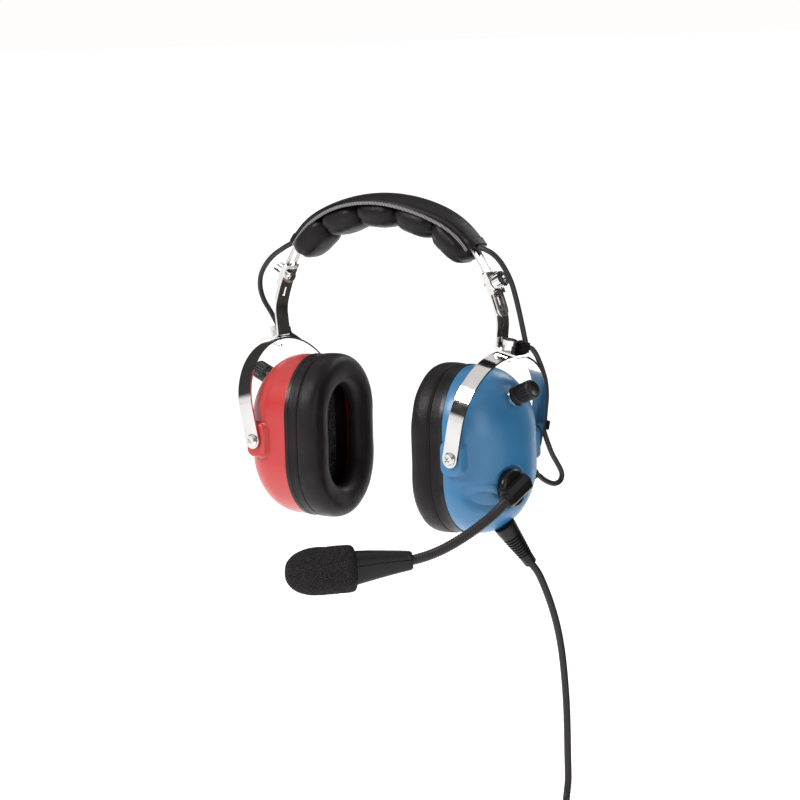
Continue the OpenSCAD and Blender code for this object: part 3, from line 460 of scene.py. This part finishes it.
def sharp(piece, angle=35):
    """Keeps edges sharper than angle as edges, and shades the rest smooth."""
    piece.data.set_sharp_from_angle(angle=radians(angle))
    return piece


def subdivide(piece, levels):
    mod = piece.modifiers.new("subdivision", "SUBSURF")
    mod.levels = mod.render_levels = levels
    apply_modifiers(piece)


def apply_modifiers(piece):
    graph = bpy.context.evaluated_depsgraph_get()
    mesh = bpy.data.meshes.new_from_object(piece.evaluated_get(graph))
    piece.modifiers.clear()
    piece.data = mesh


def axis_frame(origin, axis, turn=0.0):
    """A frame with +Z along axis, turned as the CAD model's along() turns it."""
    v = Vector(axis).normalized()
    return (
        Matrix.Translation(Vector(origin))
        @ Matrix.Rotation(atan2(v.y, v.x), 4, "Z")
        @ Matrix.Rotation(acos(v.z), 4, "Y")
        @ Matrix.Rotation(radians(turn), 4, "Z")
    )


def settle(piece, body, slot, *replaced):
    """Puts a piece on its body, with the CAD nodes that it stands for; the finish it is given (slot) is not
    used.
    """
    if body:
        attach(piece, body)
    if replaced:
        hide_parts(*replaced)
    return piece


# ---- Cloth ----
def inflate(piece, pinned, pressure, cap, frames=16):
    """Swells a piece with Cloth pressure by up to cap millimetres, and holds the points pinned() names."""
    scale = 12.0
    mesh = piece.data
    rest = [v.co.copy() for v in mesh.vertices]
    middle = sum(rest, Vector()) / len(rest)
    for v in mesh.vertices:
        v.co = (v.co - middle) * scale
    group = piece.vertex_groups.new(name="pinned")
    group.add([i for i, co in enumerate(rest) if pinned(co / MM)], 1.0, "REPLACE")
    cloth = piece.modifiers.new("cloth", "CLOTH")
    settings = cloth.settings
    settings.quality = 6
    settings.mass = 0.3
    settings.tension_stiffness = settings.compression_stiffness = 12
    settings.shear_stiffness = 6
    settings.bending_stiffness = 0.6
    settings.use_pressure = True
    settings.uniform_pressure_force = pressure
    settings.vertex_group_mass = "pinned"
    settings.effector_weights.gravity = 0
    cloth.collision_settings.use_collision = False
    cloth.collision_settings.use_self_collision = False
    scene = bpy.context.scene
    for number in range(1, frames + 1):
        scene.frame_set(number)
    graph = bpy.context.evaluated_depsgraph_get()
    swollen = [v.co.copy() for v in piece.evaluated_get(graph).data.vertices]
    piece.modifiers.clear()
    scene.frame_set(1)
    for v, new, old in zip(mesh.vertices, swollen, rest):
        move = new / scale + middle - old
        if move.length > cap * MM:
            move = move.normalized() * cap * MM
        v.co = old + move
    piece.vertex_groups.clear()


def polyline_length(line):
    return sum((b - a).length for a, b in zip(line, line[1:]))


# ---- Cords ----
def hank_line():
    """The main cord's line: down from the cup, round the stored hank, and out at its back."""
    low, high = HANK_TOP - CORD_D / 2 - HANK_FOLD - HANK_RUN, HANK_TOP - CORD_D / 2 - HANK_FOLD
    front = 41 - HANK_TURNS * CORD_D / 2
    turn_length = 2 * HANK_RUN + 2 * pi * HANK_FOLD
    start_angle, end_angle = 40, 60
    start = radians(90 - start_angle) * HANK_FOLD
    stop = HANK_TURNS * turn_length + radians(end_angle) * HANK_FOLD
    ring = []
    steps = 24 * HANK_TURNS
    for k in range(steps + 1):
        s = start + (stop - start) * k / steps
        y = front + CORD_D * s / turn_length
        d = s % turn_length
        half_turn = pi * HANK_FOLD
        quarter = half_turn / 2
        if d < quarter:
            a = pi / 2 - d / HANK_FOLD
            x, z = HANK_X + HANK_FOLD * cos(a), high + HANK_FOLD * sin(a)
        elif d < quarter + HANK_RUN:
            x, z = HANK_X + HANK_FOLD, high - (d - quarter)
        elif d < quarter + HANK_RUN + half_turn:
            a = -(d - quarter - HANK_RUN) / HANK_FOLD
            x, z = HANK_X + HANK_FOLD * cos(a), low + HANK_FOLD * sin(a)
        elif d < quarter + 2 * HANK_RUN + half_turn:
            x, z = HANK_X - HANK_FOLD, low + (d - quarter - HANK_RUN - half_turn)
        else:
            a = pi - (d - quarter - 2 * HANK_RUN - half_turn) / HANK_FOLD
            x, z = HANK_X + HANK_FOLD * cos(a), high + HANK_FOLD * sin(a)
        ring.append((x, y, z))
    return spline(CORD_ROUTE + HANK_ENTRY + ring + HANK_EXIT, 4)


def plug_piece(name, x, pin_d, tip_d, pin_l, rings, mats):
    """A plug: a moulded grip with grooves, and a contact pin with insulating rings."""
    place = Matrix.Translation((x, 58, -342)) @ Matrix.Rotation(pi, 4, "X")
    r, black, bright = pin_d / 2, 0, 1
    profile = [(0.5, 0, black), (2.6, 0, black), (3.0, 0.4, black), (3.5, 3, black)]
    for k in range(3):
        z, grow = 3.4 + k * 1.3, k * 0.5
        profile += [(3.55 + grow, z, black), (3.0 + grow, z + 0.2, black)]
        profile += [(3.1 + grow, z + 0.7, black), (3.75 + grow, z + 0.9, black)]
    profile += [(5.2, 8, black), (5.4, 9, black)]
    for k in range(8):
        z = 10 + k * 1.2
        profile += [(5.4, z, black), (5.15, z + 0.3, black), (5.15, z + 0.6, black), (5.4, z + 0.9, black)]
    profile += [(5.4, 21.4, black), (5.0, 22, black), (r, 22, bright)]
    for share in rings:
        z = 22 + pin_l * share
        profile += [(r, z, black), (r, z + 0.9, bright)]
    body = 22 + pin_l * 0.72
    tip = body + pin_l * 0.1
    profile += [(r, body, bright), (tip_d / 2, body + 0.3, bright), (tip_d / 2, tip - 0.3, bright)]
    profile += [(r, tip, bright), (r * 0.9, body + pin_l * 0.16, bright)]
    profile += [(tip_d * 0.3, 22 + pin_l, bright), (0.3, 22 + pin_l, bright)]
    return sharp(lathe(name, profile, place, [mats["black_satin"], mats["nickel"]], 40), 40)


def build_cords(mats):
    main = hank_line()
    cord = tube("main_cord_piece", main, CORD_D / 2, mats["cable"], 14)
    settle(cord, "cup_left", "cable", "main_cord", "cord_hank")
    phone = plug_piece("phone_plug_piece", 101, 6.35, 4.9, 30, (0.34, 0.58), mats)
    settle(phone, "cup_left", "plug_body", "phone_plug")
    mic = plug_piece("mic_plug_piece", 119, 5.23, 4.0, 28, (0.36, 0.6), mats)
    settle(mic, "cup_left", "plug_body", "mic_plug")
    junction = junction_piece(mats)
    tie = tie_piece(mats)
    for name, route, plug, node in (
        ("phone_lead_piece", PHONE_LEAD_ROUTE, phone, "phone_lead"),
        ("mic_lead_piece", MIC_LEAD_ROUTE, mic, "mic_lead"),
    ):
        line = spline(route, 6)
        lead = settle(tube(name, line, LEAD_D / 2, mats["cable"], 14), "cup_left", "cable", node)


def junction_piece(mats):
    """The moulded fork where the cord divides into two leads."""
    rows = []
    for z, half, r in (
        (-249.9, 0.2, 2.6), (-250.6, 0.3, 3.2), (-253, 0.8, 3.5), (-256, 1.8, 3.6),
        (-260, 3.2, 3.4), (-264, 4.2, 3.0), (-267.2, 4.4, 2.7), (-268, 4.3, 2.2),
    ):
        for k in range(32):
            a = 2 * pi * k / 32
            x = half * (1 if cos(a) > 0 else -1) + r * cos(a)
            rows.append((110 + x, 57.6 + r * sin(a), z))
    piece = new_piece("cord_junction_piece", rows, capped(8, 32), mats["black_satin"])
    return settle(piece, "cup_left", "black_plastic", "cord_junction")


def tie_piece(mats):
    """A strap of hook-and-loop tape round the hank."""
    verts, faces = [], []
    half_x, half_y = HANK_FOLD + CORD_D / 2 + 0.5, 3 * CORD_D + 0.5
    middle, thick, corner = -275.0, 1.1, 3.0
    outline = []
    for cx, cy, a0 in ((1, 1, 0), (-1, 1, 90), (-1, -1, 180), (1, -1, 270)):
        for k in range(7):
            c, s = cos(radians(a0 + 15 * k)), sin(radians(a0 + 15 * k))
            outline.append((cx * (half_x - corner) + corner * c, cy * (half_y - corner) + corner * s, c, s))
    count = len(outline)
    for z, out in ((-6, 0), (-6, thick), (-5, thick + 0.12), (5, thick + 0.12), (6, thick), (6, 0)):
        for x, y, nx, ny in outline:
            verts.append((HANK_X + x + out * nx, 41 + y + out * ny, middle + z))
    faces = grid_faces(6, count) + [
        (5 * count + k, 5 * count + (k + 1) % count, (k + 1) % count, k) for k in range(count)
    ]
    piece = new_piece("hank_tie_piece", verts, faces, mats["piping"])
    return settle(piece, "cup_left", "black_plastic", "hank_tie")


# ---- Headband ----
def headband_frame(d):
    """(point, outward direction, direction along the band) at distance d from the crown."""
    side = -1 if d < 0 else 1
    if abs(d) < CROWN_ARC:
        angle, radius, cx, cz = 90 - degrees(abs(d) / CROWN_R), CROWN_R, 0.0, CROWN_CZ
    else:
        angle = CROWN_ANGLE - degrees((abs(d) - CROWN_ARC) / SHOULDER_R)
        radius, cx, cz = SHOULDER_R, SHOULDER_CX, SHOULDER_CZ
    c, s = cos(radians(angle)), sin(radians(angle))
    point = Vector((side * (cx + radius * c), 0, cz + radius * s))
    return point, Vector((side * c, 0, s)), Vector((s, 0, -side * c))


def cover_half(x):
    t = min(max((abs(x) - 18) / 54, 0), 1)
    return COVER_END_HALF + (COVER_W / 2 - COVER_END_HALF) * (0.5 + 0.5 * cos(pi * t))


def cover_profile(half, share):
    """Outline of the cover at one place: (height, across) pairs, over its top and back under it."""
    crown = 34.0
    points = []
    for k in range(25):
        y = -half + 2 * half * k / 24
        edge = max(0.0, (abs(y) - half + 2.2) / 2.2)
        rise = COVER_RISE - crown + sqrt(crown * crown - y * y) - 1.9 * edge * edge
        rise -= 0.30 * max(0, 1 - abs(y - 0.42 * half) / 0.7)
        rise -= 0.25 * max(0, 1 - abs(y - (half - 2.9)) / 0.6)
        if abs(share) > 0.93:
            rise += 0.55
        points.append((rise, y))
    points += [(COVER_UNDER + 0.2, half - 0.3), (COVER_UNDER, half - 1.2)]
    points += [(COVER_UNDER, 0.0)]
    points += [(COVER_UNDER, -half + 1.2), (COVER_UNDER + 0.2, -half + 0.3)]
    return points


def build_cover(mats):
    stations, rows = 120, []
    shares = [-1.0, -0.999] + [-0.99 + 1.98 * k / stations for k in range(stations + 1)] + [0.999, 1.0]
    for i, share in enumerate(shares):
        point, out, _ = headband_frame(BAND_END * share)
        half = cover_half(point.x) + (0.35 if abs(share) > 0.93 else 0)
        shrink = 0.86 if i in (0, len(shares) - 1) else 1.0
        for height, y in cover_profile(half, share):
            rows.append(point + out * (height * shrink) + Vector((0, y * shrink, 0)))
    columns = len(rows) // len(shares)
    piece = new_piece("head_cover_piece", rows, capped(len(shares), columns), mats["leatherette"])
    settle(piece, "headband", "leatherette", "head_cover")
    for name, y_side in (("front_piping", -1), ("rear_piping", 1)):
        line = []
        for k in range(91):
            point, out, _ = headband_frame(BAND_END * (k / 45 - 1) * 0.995)
            edge = cover_half(point.x) + 0.35
            line.append(point + out * (COVER_UNDER + 0.5) + Vector((0, y_side * edge, 0)))
        radius, finish = (1.0, "piping") if y_side < 0 else (0.75, "leatherette")
        cord = tube(name, line, radius, mats[finish], 12)
        settle(cord, "headband", "piping", "cover_piping")


def lobe_form(half, depth):
    """One cushion: a rounded box that is full at its face and drawn in where it is sewn."""
    verts, around, rings = [], 40, 15
    length, squareness = 15.4, 3.2
    for j in range(rings):
        t = j / (rings - 1)
        height = COVER_UNDER - 0.4 - t * (depth + COVER_UNDER - 0.4)
        waist = 0.90 + 0.14 * sin(pi * min(1, t * 1.6)) ** 0.8
        face = (1 - max(0, (t - 0.62) / 0.38) ** 2.6) ** 0.5
        swell = max(waist * face, 0.04)
        for k in range(around):
            a = 2 * pi * k / around
            c, s = cos(a), sin(a)
            r = (abs(c) ** squareness + abs(s) ** squareness) ** (-1 / squareness)
            verts.append((length * swell * r * c, half * swell * r * s, height))
    return verts, capped(rings, around)


def build_lobes(mats):
    for index in range(-2, 3):
        point, out, along = headband_frame(index * LOBE_PITCH)
        verts, faces = lobe_form(max(cover_half(point.x) - 0.5, LOBE_HALF_MIN), LOBE_DEPTH)
        piece = new_piece(f"head_cushion_{index + 3}", verts, faces, mats["leatherette"])
        inflate(piece, lambda co: co.z > COVER_UNDER - 2.5, 5.0, 1.3)
        subdivide(piece, 1)
        for v in piece.data.vertices:
            p = v.co / MM
            pucker = 0.16 * noise.noise(Vector((p.x * 0.35, p.y * 0.35, p.z * 0.3 + index * 7)))
            pucker *= min(1, max(0, (COVER_UNDER - p.z) / 3))
            p = p + p.normalized() * pucker
            v.co = (point + along * p.x + Vector((0, p.y, 0)) + out * p.z) * MM
        for face in piece.data.polygons:
            face.use_smooth = True
        settle(piece, "headband", "leatherette", "pad_lobes")


# ---- Cups ----
def stadium_ring(radius, half, count):
    """Points round a stadium, evenly spaced along it, as (y, z, outward y, outward z)."""
    arc = pi * radius
    total = 2 * arc + 4 * half
    points = []
    for k in range(count):
        s = total * k / count
        if s < arc:
            a = s / radius
            points.append((radius * cos(a), half + radius * sin(a), cos(a), sin(a)))
        elif s < arc + 2 * half:
            points.append((-radius, half - (s - arc), -1, 0))
        elif s < 2 * arc + 2 * half:
            a = pi + (s - arc - 2 * half) / radius
            points.append((radius * cos(a), -half + radius * sin(a), cos(a), sin(a)))
        else:
            points.append((radius, -half + (s - 2 * arc - 2 * half), 1, 0))
    return points


def smooth_step(value):
    t = min(max(value, 0.0), 1.0)
    return t * t * (3 - 2 * t)


def rim_point(side, u, v, z):
    """A point of a cup measured from its slanted rim plane: u outwards, v across and z up."""
    a = side * RIM_SLANT
    return side * (RIM_X + u * cos(a) - v * sin(a)), u * sin(a) + v * cos(a), z


def shell_surface(x, y, z, side):
    """Raises a shell's pivot pads, and sinks the saddle and the seat of the boom's hub."""
    dx = max(PIVOT_X - PAD_IN + PAD_CORNER - x, x - PIVOT_X - PAD_OUT + PAD_CORNER, 0)
    dz = max(abs(z) - PAD_HALF + PAD_CORNER, 0)
    on_pad = smooth_step((PAD_CORNER + 0.4 - sqrt(dx * dx + dz * dz)) / 0.9)
    if on_pad > 0 and abs(y) > 25:
        y = (1 if y > 0 else -1) * (abs(y) + (BOSS_Y - 0.35 - abs(y)) * on_pad)
    if side > 0:
        outside = smooth_step((x - 74) / 12)
        valley = sqrt(((y + 22) / 22) ** 2 + ((z + 25 + 0.22 * (y + 22)) / 8.5) ** 2)
        x -= 3.6 * smooth_step(1.15 - valley) * outside
        seat = sqrt((y - HUB[1]) ** 2 + (z - HUB[2]) ** 2)
        if seat < 14:
            x += (min(x, HUB[0] - 0.15) - x) * smooth_step((14 - seat) / 2)
    return x, y, z


def build_shell(side_name, mats):
    """A shell with a real wall: up its inside to the rim, round the rim, and back over the dome."""
    side, around = SIDES[side_name], 400
    base = stadium_ring(CUP_W / 2, (CUP_H - CUP_W) / 2, around)
    slope = tan(side * RIM_SLANT)
    verts = []

    def dome_ring(t, inset):
        f = (1 - t ** DOME_POWER) ** (1 / DOME_POWER)
        for y, z, ny, nz in base:
            x, y, z = DOME_X + t * (DOME_DEPTH - inset), (y - ny * inset) * f, (z - nz * inset) * f
            if inset == 0:
                x, y, z = shell_surface(x, y, z, side)
            verts.append((side * x, y, z))

    def skirt_ring(share, inset):
        for y, z, ny, nz in base:
            y, z = y - ny * inset, z - nz * inset
            edge = RIM_X - y * slope
            x = edge + (DOME_X - edge) * share
            if inset == 0:
                x, y, z = shell_surface(x, y, z, side)
            verts.append((side * x, y, z))

    def lip_ring(u, inset):
        for y, z, ny, nz in base:
            verts.append(rim_point(side, u, y - ny * inset, z - nz * inset))

    inner, outer, skirt = 20, 84, 36
    for k in range(inner + 1):
        dome_ring(0.998 * cos(pi / 2 * k / inner), SHELL_WALL)
    skirt_ring(0, SHELL_WALL)
    for u, inset in ((0, SHELL_WALL), (-RIM_DEPTH + 0.4, SHELL_WALL), (-RIM_DEPTH, SHELL_WALL - 0.4)):
        lip_ring(u, inset)
    for u, inset in ((-RIM_DEPTH, 0.4), (-RIM_DEPTH + 0.4, 0.1), (0, 0.1)):
        lip_ring(u, inset)
    for k in range(skirt + 1):
        skirt_ring(k / skirt, 0)
    for k in range(1, outer + 1):
        dome_ring(0.999 * sin(pi / 2 * k / outer), 0)
    color = "shell_blue" if side > 0 else "shell_red"
    piece = new_piece(f"shell_{side_name}", verts, capped(len(verts) // around, around), mats[color])
    settle(piece, f"cup_{side_name}", color, f"ear_shell_{side_name}")


def seal_profile():
    """Section of a seal: (u, distance out from the hole's wall) pairs, round the cushion, then the skirt."""
    back = -RIM_DEPTH - PLATE_T - 0.1
    outer = (SEAL_W - SEAL_HOLE_W) / 2
    skirt_in = (CUP_W - SEAL_HOLE_W) / 2 + 0.05
    points = [(back, 1.0), (back - 1.6, 0.1), (-17, -0.2), (-20, 0.6), (-22.2, 2.6), (-23.4, 5.4)]
    points += [(-23.9, 8.2), (-SEAL_T, 10.8), (-23.7, 13.4), (-22.7, 15.9), (-21.2, 17.8), (-19, 19.0)]
    points += [(-16, 19.5), (-12, 19.55), (SEAM_U - 0.9, 19.45), (SEAM_U - 0.3, 18.9)]
    points += [(SEAM_U + 0.3, 18.9), (SEAM_U + 0.8, 19.2)]
    points += [(-6, 18.9), (-3.5, 18.75), (-1, 18.95), (-0.2, 18.8), (-0.1, skirt_in + 0.2)]
    points += [(-1.5, skirt_in), (back + 1, skirt_in)]
    points += [(back, skirt_in - 0.8), (back, 9.0)]
    return [(u, d * outer / 19.5) for u, d in points]


def build_seal(side_name, mats):
    side = SIDES[side_name]
    half, r_in, around = (SEAL_H - SEAL_W) / 2, SEAL_HOLE_W / 2, 132
    profile = seal_profile()
    ring = stadium_ring(r_in, half, around)
    outer = stadium_ring(SEAL_W / 2, half, around)
    verts = []
    for (y0, z0, _, _), (y1, z1, _, _) in zip(ring, outer):
        for u, d in profile:
            share = d / (SEAL_W / 2 - r_in)
            verts.append((u, y0 + (y1 - y0) * share, z0 + (z1 - z0) * share))
    columns, faces = len(profile), []
    for i in range(around):
        for j in range(columns):
            a, b = i * columns + j, i * columns + (j + 1) % columns
            c, d = ((i + 1) % around) * columns + (j + 1) % columns, ((i + 1) % around) * columns + j
            faces.append((a, b, c, d))
    piece = new_piece(f"ear_seal_{side_name}_piece", verts, faces, mats["leatherette_seal"])
    inflate(piece, lambda co: co.x > SEAM_U - 1.5, 3.0, 0.7)
    subdivide(piece, 1)
    for v in piece.data.vertices:
        u, across, up = v.co / MM
        if u < -13:
            u += noise.noise(Vector((across * 0.07, up * 0.07, side * 3))) * 0.3
        v.co = Vector(rim_point(side, u, across, up)) * MM
    turn_out(piece)
    settle(piece, f"cup_{side_name}", "leatherette", f"ear_seal_{side_name}")
    line = [Vector(rim_point(side, SEAM_U, y, z)) for y, z, _, _ in stadium_ring(SEAL_W / 2 - 0.5, half, 160)]
    line.append(line[0].copy())
    bead = tube(f"seal_bead_{side_name}", line, 0.42, mats["leatherette"], 8)
    settle(bead, f"cup_{side_name}", "leatherette")


def turn_out(piece):
    """Points a reshaped piece's faces outwards and shades them smooth."""
    fix = bmesh.new()
    fix.from_mesh(piece.data)
    bmesh.ops.recalc_face_normals(fix, faces=fix.faces)
    fix.to_mesh(piece.data)
    fix.free()
    for face in piece.data.polygons:
        face.use_smooth = True


def build_liner(side_name, mats):
    """The ear foam: a sheet across the mouth of the shell, uneven and rounded off at its edge."""
    side = SIDES[side_name]
    rings, verts, around = 22, [], 96
    radius, straight = CUP_W / 2 - SHELL_WALL - 0.4, (CUP_H - CUP_W) / 2
    for j in range(rings):
        t = j / (rings - 1)
        u = -0.9 + 2.6 * t ** 9
        for y, z, _, _ in stadium_ring(radius * max(t, 0.02), straight * min(1, 0.1 + t), around):
            lump = noise.noise(Vector((y * 0.12, z * 0.12, side))) * 0.35
            verts.append(rim_point(side, u + lump, y, z))
    piece = new_piece(f"liner_foam_{side_name}_piece", verts, capped(rings, around), mats["foam_ear"])
    settle(piece, f"cup_{side_name}", "foam", f"liner_foam_{side_name}")


def build_knob(side_name, mats):
    """A fluted volume knob with a plain collar, a groove and a pale index line."""
    side = SIDES[side_name]
    direction = Vector((cos(radians(KNOB_LEAN)), 0, sin(radians(KNOB_LEAN))))
    place = axis_frame(KNOB_BASE, direction)
    if side < 0:
        place = Matrix.Scale(-1, 4, (1, 0, 0)) @ place
    steps, verts = 144, []
    rows = [
        (2.6, 5.45, 0), (2.9, 5.7, 0), (5.2, 5.75, 0), (5.6, 5.45, 0), (6.3, 5.45, 0),
        (6.7, 5.75, 0.1), (7.2, 5.8, 0.4), (10, 5.8, 0.45), (14, 5.8, 0.45), (15, 5.75, 0.35),
        (15.9, 5.35, 0.1), (16.3, 4.9, 0), (16.35, 4.2, 0), (16.1, 3.9, 0), (16.1, 0.4, 0),
    ]
    for z, r, flute in rows:
        for k in range(steps):
            a = 2 * pi * k / steps
            cut = flute * max(0.0, cos(18 * a)) ** 2
            verts.append(place @ Vector(((r - cut) * cos(a), (r - cut) * sin(a), z)))
    piece = new_piece(f"knob_{side_name}_piece", verts, capped(len(rows), steps), mats["black_satin"])
    sharp(piece, 50)
    settle(piece, f"knob_{side_name}", "black_plastic", f"volume_knob_{side_name}")
    bar = []
    for z in (16.06, 16.32):
        for x, y in ((2.4, -0.18), (4.3, -0.18), (4.3, 0.18), (2.4, 0.18)):
            bar.append(place @ Vector((x, y, z)))
    mark = new_piece(f"knob_mark_{side_name}", bar, capped(2, 4), mats["mark"], smooth=False)
    settle(mark, f"knob_{side_name}", "black_plastic")


# ---- Boom and microphone ----
def build_gooseneck(mats):
    line = spline(GOOSE_ROUTE, 60)
    total = polyline_length(line)
    ribs = total / 1.25

    def radius_at(share):
        return GOOSE_D / 2 - 0.11 + 0.13 * cos(2 * pi * ribs * share)

    piece = tube("gooseneck_piece", line, GOOSE_D / 2, mats["sleeve"], 20, radius_at)
    settle(piece, "boom", "gooseneck_sleeve", "gooseneck")


def build_windscreen(mats):
    """The foam windscreen: a straight sleeve with a blunt round nose and a rough surface."""
    place = axis_frame(MIC_AT, MIC_DIR, 180) @ Matrix.Translation((-2, 0, HOUSING_L + 0.6))
    r, steps, rows = FOAM_D / 2, 150, []
    rows += [(r * 0.4, -1.3), (r * 0.66, -1.3), (r - 3.4, -0.9)]
    rows += [(r - 1.6, -0.2), (r - 0.5, 1.0), (r - 0.1, 2.3)]
    nose = 19.0
    straight = FOAM_L - nose
    rows += [(r, 2.3 + (straight - 2.3) * k / 24) for k in range(1, 25)]
    rows += [(r * cos(radians(a)) ** 0.82, straight + nose * sin(radians(a))) for a in range(3, 90, 3)]
    verts = []
    for radius, height in rows:
        for k in range(steps):
            a = 2 * pi * k / steps
            p = Vector((radius * cos(a), radius * sin(a), height))
            rough = noise.noise(p * 1.1) * 0.16 + noise.noise(p * 0.22) * 0.25
            verts.append(place @ (p + Vector((cos(a), sin(a), 0.3)) * rough))
    piece = new_piece("windscreen_piece", verts, capped(len(rows), steps), mats["foam_mic"])
    settle(piece, "boom", "foam", "windscreen")


def housing_section(z):
    """Half width and the low and high edges of the microphone housing at distance z from the neck."""
    t = z / (HOUSING_L - 0.5)
    low = -5.4 - 6.0 * t ** 1.15
    high = 4.9 + 3.1 * t ** 0.8 - 1.2 * max(0, t - 0.75)
    return 4.7 + 2.6 * t, low, high


def build_housing(mats):
    """The microphone housing: a tapered case with a lid that stands proud of a groove."""
    place = axis_frame(MIC_AT, MIC_DIR, 180)
    steps, squareness = 96, 3.4
    rows = [0.0, 0.4, 1.2] + [2.5 + 2.5 * k for k in range(12)]
    rows += [HOUSING_L - 1.4, HOUSING_L - 0.8, HOUSING_L - 0.5]
    halves = (("housing_body", "mic_housing_lower", False), ("housing_lid", "mic_housing_upper", True))
    for name, node, upper in halves:
        verts = []
        for z in rows:
            width, low, high = housing_section(z)
            split = low + (high - low) * 0.60
            end = min(z / 1.2, 1, (HOUSING_L - 0.5 - z) / 0.9 + 0.75)
            inset = 0.8 * (1 - max(0.0, end)) if end < 1 else 0.0
            for k in range(steps):
                a = 2 * pi * k / steps
                reach = (abs(cos(a)) ** squareness + abs(sin(a)) ** squareness) ** (-1 / squareness)
                x, y = reach * sin(a), reach * cos(a)
                px = (low + high) / 2 + (high - low) / 2 * x
                if upper:
                    px = max(px, split + 0.25)
                    spread = 0.25
                else:
                    px = min(px, split - 0.25)
                    spread = 0.0
                verts.append(place @ Vector((px - inset * x, y * (width + spread - inset), z)))
        piece = new_piece(name, verts, capped(len(rows), steps), mats["black_satin"])
        sharp(piece, 40)
        settle(piece, "boom", "black_plastic", node)


def build_strain_relief(mats):
    """A ribbed boot: a plain wide end, open ribs and a plain narrow end."""
    axis = Vector(RELIEF_END) - Vector(RELIEF_AT)
    length = axis.length
    place = axis_frame(RELIEF_AT, axis)
    rows = [(1.0, -1.5), (RELIEF_R1 + 0.5, -1.5), (RELIEF_R1 + 0.5, 0.5)]

    def outer(z):
        return RELIEF_R1 + 0.5 + (RELIEF_R2 + 0.25 - RELIEF_R1 - 0.5) * z / length

    rows += [(outer(length * 0.2), length * 0.2)]
    for k in range(8):
        z = length * (0.225 + k * 0.068)
        groove = outer(z) - 1.15
        rows += [(outer(z), z), (groove, z + 0.08), (groove, z + 0.86), (outer(z), z + 0.94)]
    rows += [(outer(length * 0.8), length * 0.8), (RELIEF_R2 + 0.9, length * 0.82)]
    rows += [(RELIEF_R2 + 0.75, length - 0.6), (RELIEF_R2 + 0.3, length)]
    rows += [(CORD_D / 2 - 0.2, length + 0.1)]
    profile = [(r, z, 0) for r, z in rows]
    piece = sharp(lathe("strain_relief_piece", profile, place, [mats["black_satin"]], 56), 35)
    settle(piece, "cup_left", "black_plastic", "strain_relief")


def build_hub(mats):
    """The boom's hub: a domed disc. The clamp across it keeps its CAD shape."""
    place = axis_frame((HUB[0] + 0.3, HUB[1], HUB[2]), (1, 0, 0))
    rows = [(11.3, 0), (11.5, 0.2), (11.5, 3.6), (11.3, 4.2), (10.6, 4.9), (9.4, 5.3), (5, 5.5), (0.4, 5.55)]
    piece = lathe("boom_hub_piece", [(r, z, 0) for r, z in rows], place, [mats["black_gloss"]], 96)
    sharp(piece, 60)
    settle(piece, "boom", "black_plastic", "boom_hub")


# ---- Crossover cable ----
def build_crossover(mats):
    line = []
    for k in range(81):
        point, out, _ = headband_frame(BAND_END * (k / 40 - 1))
        line.append(point + out * CABLE_RISE * 0.6 + Vector((0, CABLE_Y, 0)))
    top = tube("crossover_top_piece", line, CROSS_D / 2, mats["cable"], 12)
    settle(top, "headband", "cable", "crossover_top")
    for side_name, side in SIDES.items():
        runs = (
            ("upper", UPPER_ROUTES[side_name], "headband", f"arm_{side_name}"),
            ("middle", MIDDLE_ROUTE, f"arm_{side_name}", f"stirrup_{side_name}"),
            ("lower", LOWER_ROUTE, f"stirrup_{side_name}", f"cup_{side_name}"),
        )
        for part, route, first, second in runs:
            points = [Vector((side * x, y, z)) for x, y, z in spline(route, 8)]
            name = f"crossover_{part}_{side_name}"
            piece = tube(f"{name}_piece", points, CROSS_D / 2, mats["cable"], 14)
            settle(piece, None, "cable", name)
            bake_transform(piece)


# ---- CAD nodes that keep their own shape ----
def finish_cad_nodes(mats):
    finishes = {"spring_band": "steel", "mic_capsule": "steel", "boom_clamp": "black_satin"}
    for side_name in SIDES:
        for node in ("arm", "guide_bracket", "stirrup", "thumbscrew"):
            finishes[f"{node}_{side_name}"] = "chrome"
        for node in ("arm_fasteners", "pivot_screws", "volume_pot", "speaker"):
            finishes[f"{node}_{side_name}"] = "fasteners"
        for node in ("cable_clip_upper", "cable_clip_lower", "cable_grommet", "seal_plate"):
            finishes[f"{node}_{side_name}"] = "black_satin"
    for name, key in finishes.items():
        node = NODES[name]
        for slot in node.material_slots:
            slot.material = mats[key]


def main():
    bpy.context.scene.view_settings.view_transform = "Standard"
    place_camera()
    build_world()
    build_lights()
    build_stage()
    build_dark_card()
    mats = build_materials()
    build_cords(mats)
    build_cover(mats)
    build_lobes(mats)
    for side_name in SIDES:
        build_shell(side_name, mats)
        build_seal(side_name, mats)
        build_liner(side_name, mats)
        build_knob(side_name, mats)
    build_gooseneck(mats)
    build_windscreen(mats)
    build_housing(mats)
    build_hub(mats)
    build_strain_relief(mats)
    build_crossover(mats)
    finish_cad_nodes(mats)


main()
